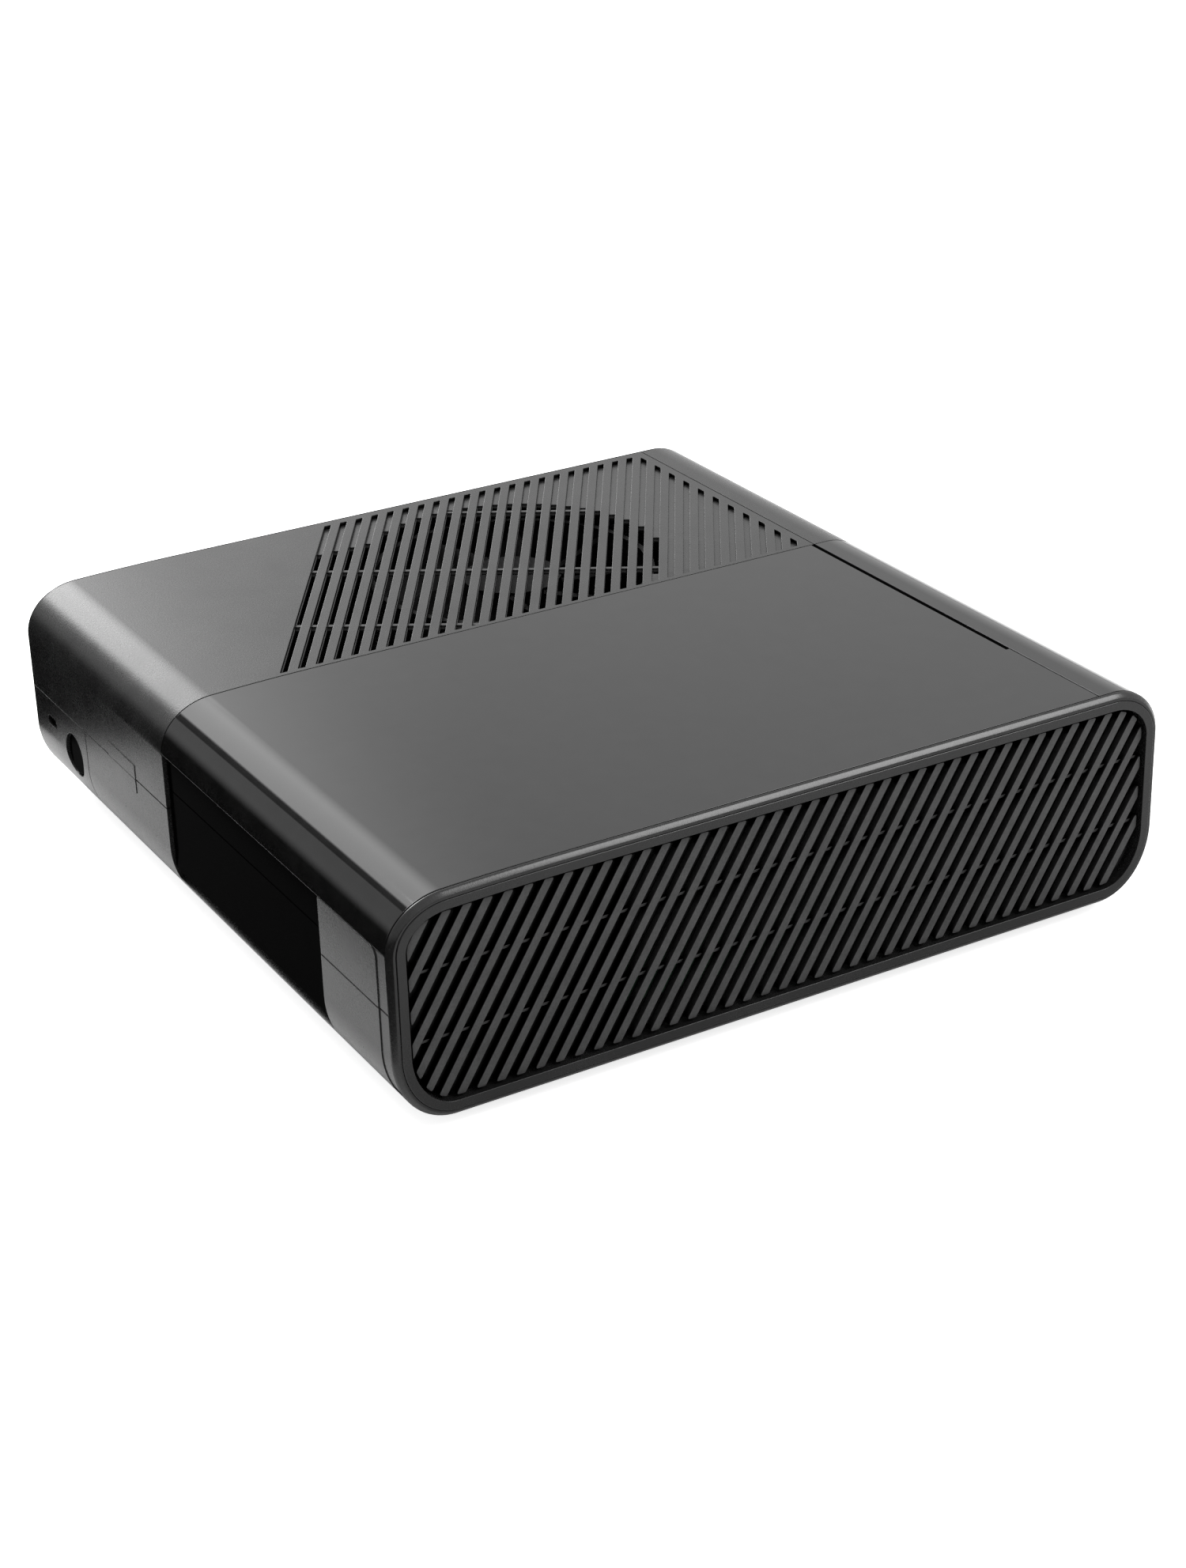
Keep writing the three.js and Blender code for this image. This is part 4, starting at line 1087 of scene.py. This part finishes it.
def floor():
    """A white paper floor. Glossy rays see it only inside drawn edges at the left and the front, dimmer to
    the right, and black beyond: painted shade in its reflections.
    """
    mesh = bpy.data.meshes.new("floor")
    half = FLOOR["half"]
    corners = [(-half, -half, 0), (half, -half, 0), (half, half, 0), (-half, half, 0)]
    mesh.from_pydata(corners, [], [(0, 1, 2, 3)])
    piece = bpy.data.objects.new("floor", mesh)
    bpy.context.scene.collection.objects.link(piece)
    material = bpy.data.materials.new("floor_with_painted_reflection")
    material.use_nodes = True
    material.node_tree.nodes.clear()
    n = Nodes(material.node_tree)
    place = n.add("TexCoord").outputs["Object"]
    axes = n.add("SeparateXYZ")
    n.link(place, axes.inputs[0])
    inward = n.add("VectorMath", operation="DOT_PRODUCT")
    inward.inputs[1].default_value = PAINTED_REFLECTION["inward"]
    n.link(place, inward.inputs[0])

    def ramp(value, low, high, start, end):
        step = n.add("MapRange", From_Min=low, From_Max=high, To_Min=start, To_Max=end)
        n.link(value, step.inputs["Value"])
        return step.outputs["Result"]

    edge_at, blur = PAINTED_REFLECTION["edge"], PAINTED_REFLECTION["edge_blur"]
    front, (before, behind) = PAINTED_REFLECTION["front"], PAINTED_REFLECTION["front_blur"]
    left = ramp(inward.outputs["Value"], edge_at - blur, edge_at + blur, 0.0, 1.0)
    ahead = ramp(axes.outputs["Y"], front - before, front + behind, 0.0, 1.0)
    aside = ramp(axes.outputs["X"], *PAINTED_REFLECTION["aside"], *PAINTED_REFLECTION["dim"])
    seen = n.joined("MULTIPLY", n.joined("MULTIPLY", left, ahead), aside)
    ray = n.add("LightPath")
    plain = ramp(ray.outputs["Is Glossy Ray"], 0, 1, 1, 0)
    strength = n.joined("MAXIMUM", seen, plain)
    white = FLOOR["white"]
    paper = n.add("BsdfDiffuse", Color=(white, white, white, 1))
    glow = n.add("Emission")
    n.link(ramp(ray.outputs["Is Camera Ray"], 0, 1, 0, FLOOR["glow"]), glow.inputs["Strength"])
    bright = n.add("AddShader")
    n.link(paper.outputs[0], bright.inputs[0])
    n.link(glow.outputs[0], bright.inputs[1])
    # painted shade in reflections: where the mask is low, glossy rays see black instead of the floor
    mixed = n.add("MixShader")
    n.link(strength, mixed.inputs[0])
    n.link(n.add("BsdfDiffuse", Color=(0, 0, 0, 1)).outputs[0], mixed.inputs[1])
    n.link(bright.outputs[0], mixed.inputs[2])
    n.link(mixed.outputs[0], n.add("OutputMaterial").inputs[0])
    mesh.materials.append(material)


def studio():
    """A soft sky with a bright card and strip low on the left, and dark below the horizon.

    Each shape is a product of soft steps along the axes of the direction looked in.
    """
    world = bpy.data.worlds.new("studio")
    bpy.context.scene.world = world
    world.use_nodes = True
    world.node_tree.nodes.clear()
    n = Nodes(world.node_tree)
    background = n.add("Background")
    n.link(background.outputs[0], n.add("OutputWorld").inputs[0])
    axes = n.add("SeparateXYZ")
    n.link(n.add("TexCoord").outputs["Generated"], axes.inputs[0])

    def soft_step(axis, low, high, start=0.0, end=1.0):
        ends = {"From_Min": low, "From_Max": high, "To_Min": start, "To_Max": end}
        step = n.add("MapRange", interpolation_type="SMOOTHSTEP", **ends)
        n.link(axes.outputs[axis], step.inputs["Value"])
        return step.outputs["Result"]

    def product(*parts):
        result = parts[0]
        for part in parts[1:]:
            result = n.joined("MULTIPLY", result, part)
        return result

    card = product(
        soft_step("Y", 0.43, 0.13, end=CARD), soft_step("Y", -0.24, -0.21), soft_step("X", -0.3, -0.6)
    )
    strip = product(
        soft_step("Y", -0.26, -0.18, end=STRIP),
        soft_step("Y", 0.32, 0.08),
        soft_step("Z", 0.20, 0.26),
        soft_step("Z", 0.475, 0.43),
        soft_step("X", -0.7, -0.8),
    )
    shapes = n.joined("ADD", card, strip)
    frame_left = n.joined(
        "MAXIMUM",
        soft_step("Y", -0.25, -0.235, start=FRAME_SHADE),
        soft_step("Y", -0.325, -0.34, start=FRAME_SHADE),
    )
    frame_edge = n.joined("MAXIMUM", frame_left, soft_step("X", -0.6, -0.4))
    sky = n.joined("MAXIMUM", soft_step("Z", 0.0, 0.25, end=SKY), soft_step("Y", 0.2, 0.42, end=SKY))
    sky = product(sky, soft_step("Y", -0.36, -0.26, start=SKY_FAR_LEFT))
    sky = product(n.joined("ADD", sky, shapes), frame_edge, soft_step("Z", 0.0, 0.02))
    backdrop = n.add("LightPath").outputs["Is Camera Ray"]
    background.inputs["Color"].default_value = (1, 1, 1, 1)
    n.link(n.joined("MAXIMUM", sky, backdrop), background.inputs["Strength"])


def area_light(name, place, aim, width, height, power):
    light = bpy.data.lights.new(name, "AREA")
    light.shape, light.size, light.size_y, light.energy = "RECTANGLE", width, height, power
    lamp = bpy.data.objects.new(name, light)
    lamp.location = place
    lamp.rotation_mode = "QUATERNION"
    lamp.rotation_quaternion = (Vector(aim) - Vector(place)).to_track_quat("-Z", "Y")
    bpy.context.scene.collection.objects.link(lamp)


def camera():
    data = bpy.data.cameras.new("camera")
    data.sensor_fit, data.sensor_width, data.lens = "AUTO", LENS["width"], LENS["focal"]
    data.clip_start, data.clip_end = LENS["near"], LENS["far"]
    eye = bpy.data.objects.new("camera", data)
    eye.location = CAMERA["place"]
    azimuth, down, roll = (math.radians(CAMERA[k]) for k in ("azimuth", "down", "roll"))
    level = Vector((-math.sin(azimuth), math.cos(azimuth), 0))
    forward = level * math.cos(down) - Vector((0, 0, math.sin(down)))
    eye.rotation_mode = "QUATERNION"
    eye.rotation_quaternion = forward.to_track_quat("-Z", "Y") @ Quaternion((0, 0, 1), roll)
    bpy.context.scene.collection.objects.link(eye)
    bpy.context.scene.camera = eye


floor()
studio()
middle = (0, 0, 0.04)
area_light("left_softbox", (-0.77, -0.42, 1.13), middle, width=0.5, height=0.5, power=12)
area_light("rear_softbox", (0.66, 0.70, 1.05), middle, width=0.6, height=0.6, power=9)
camera()
bpy.context.scene.view_settings.view_transform = "Standard"
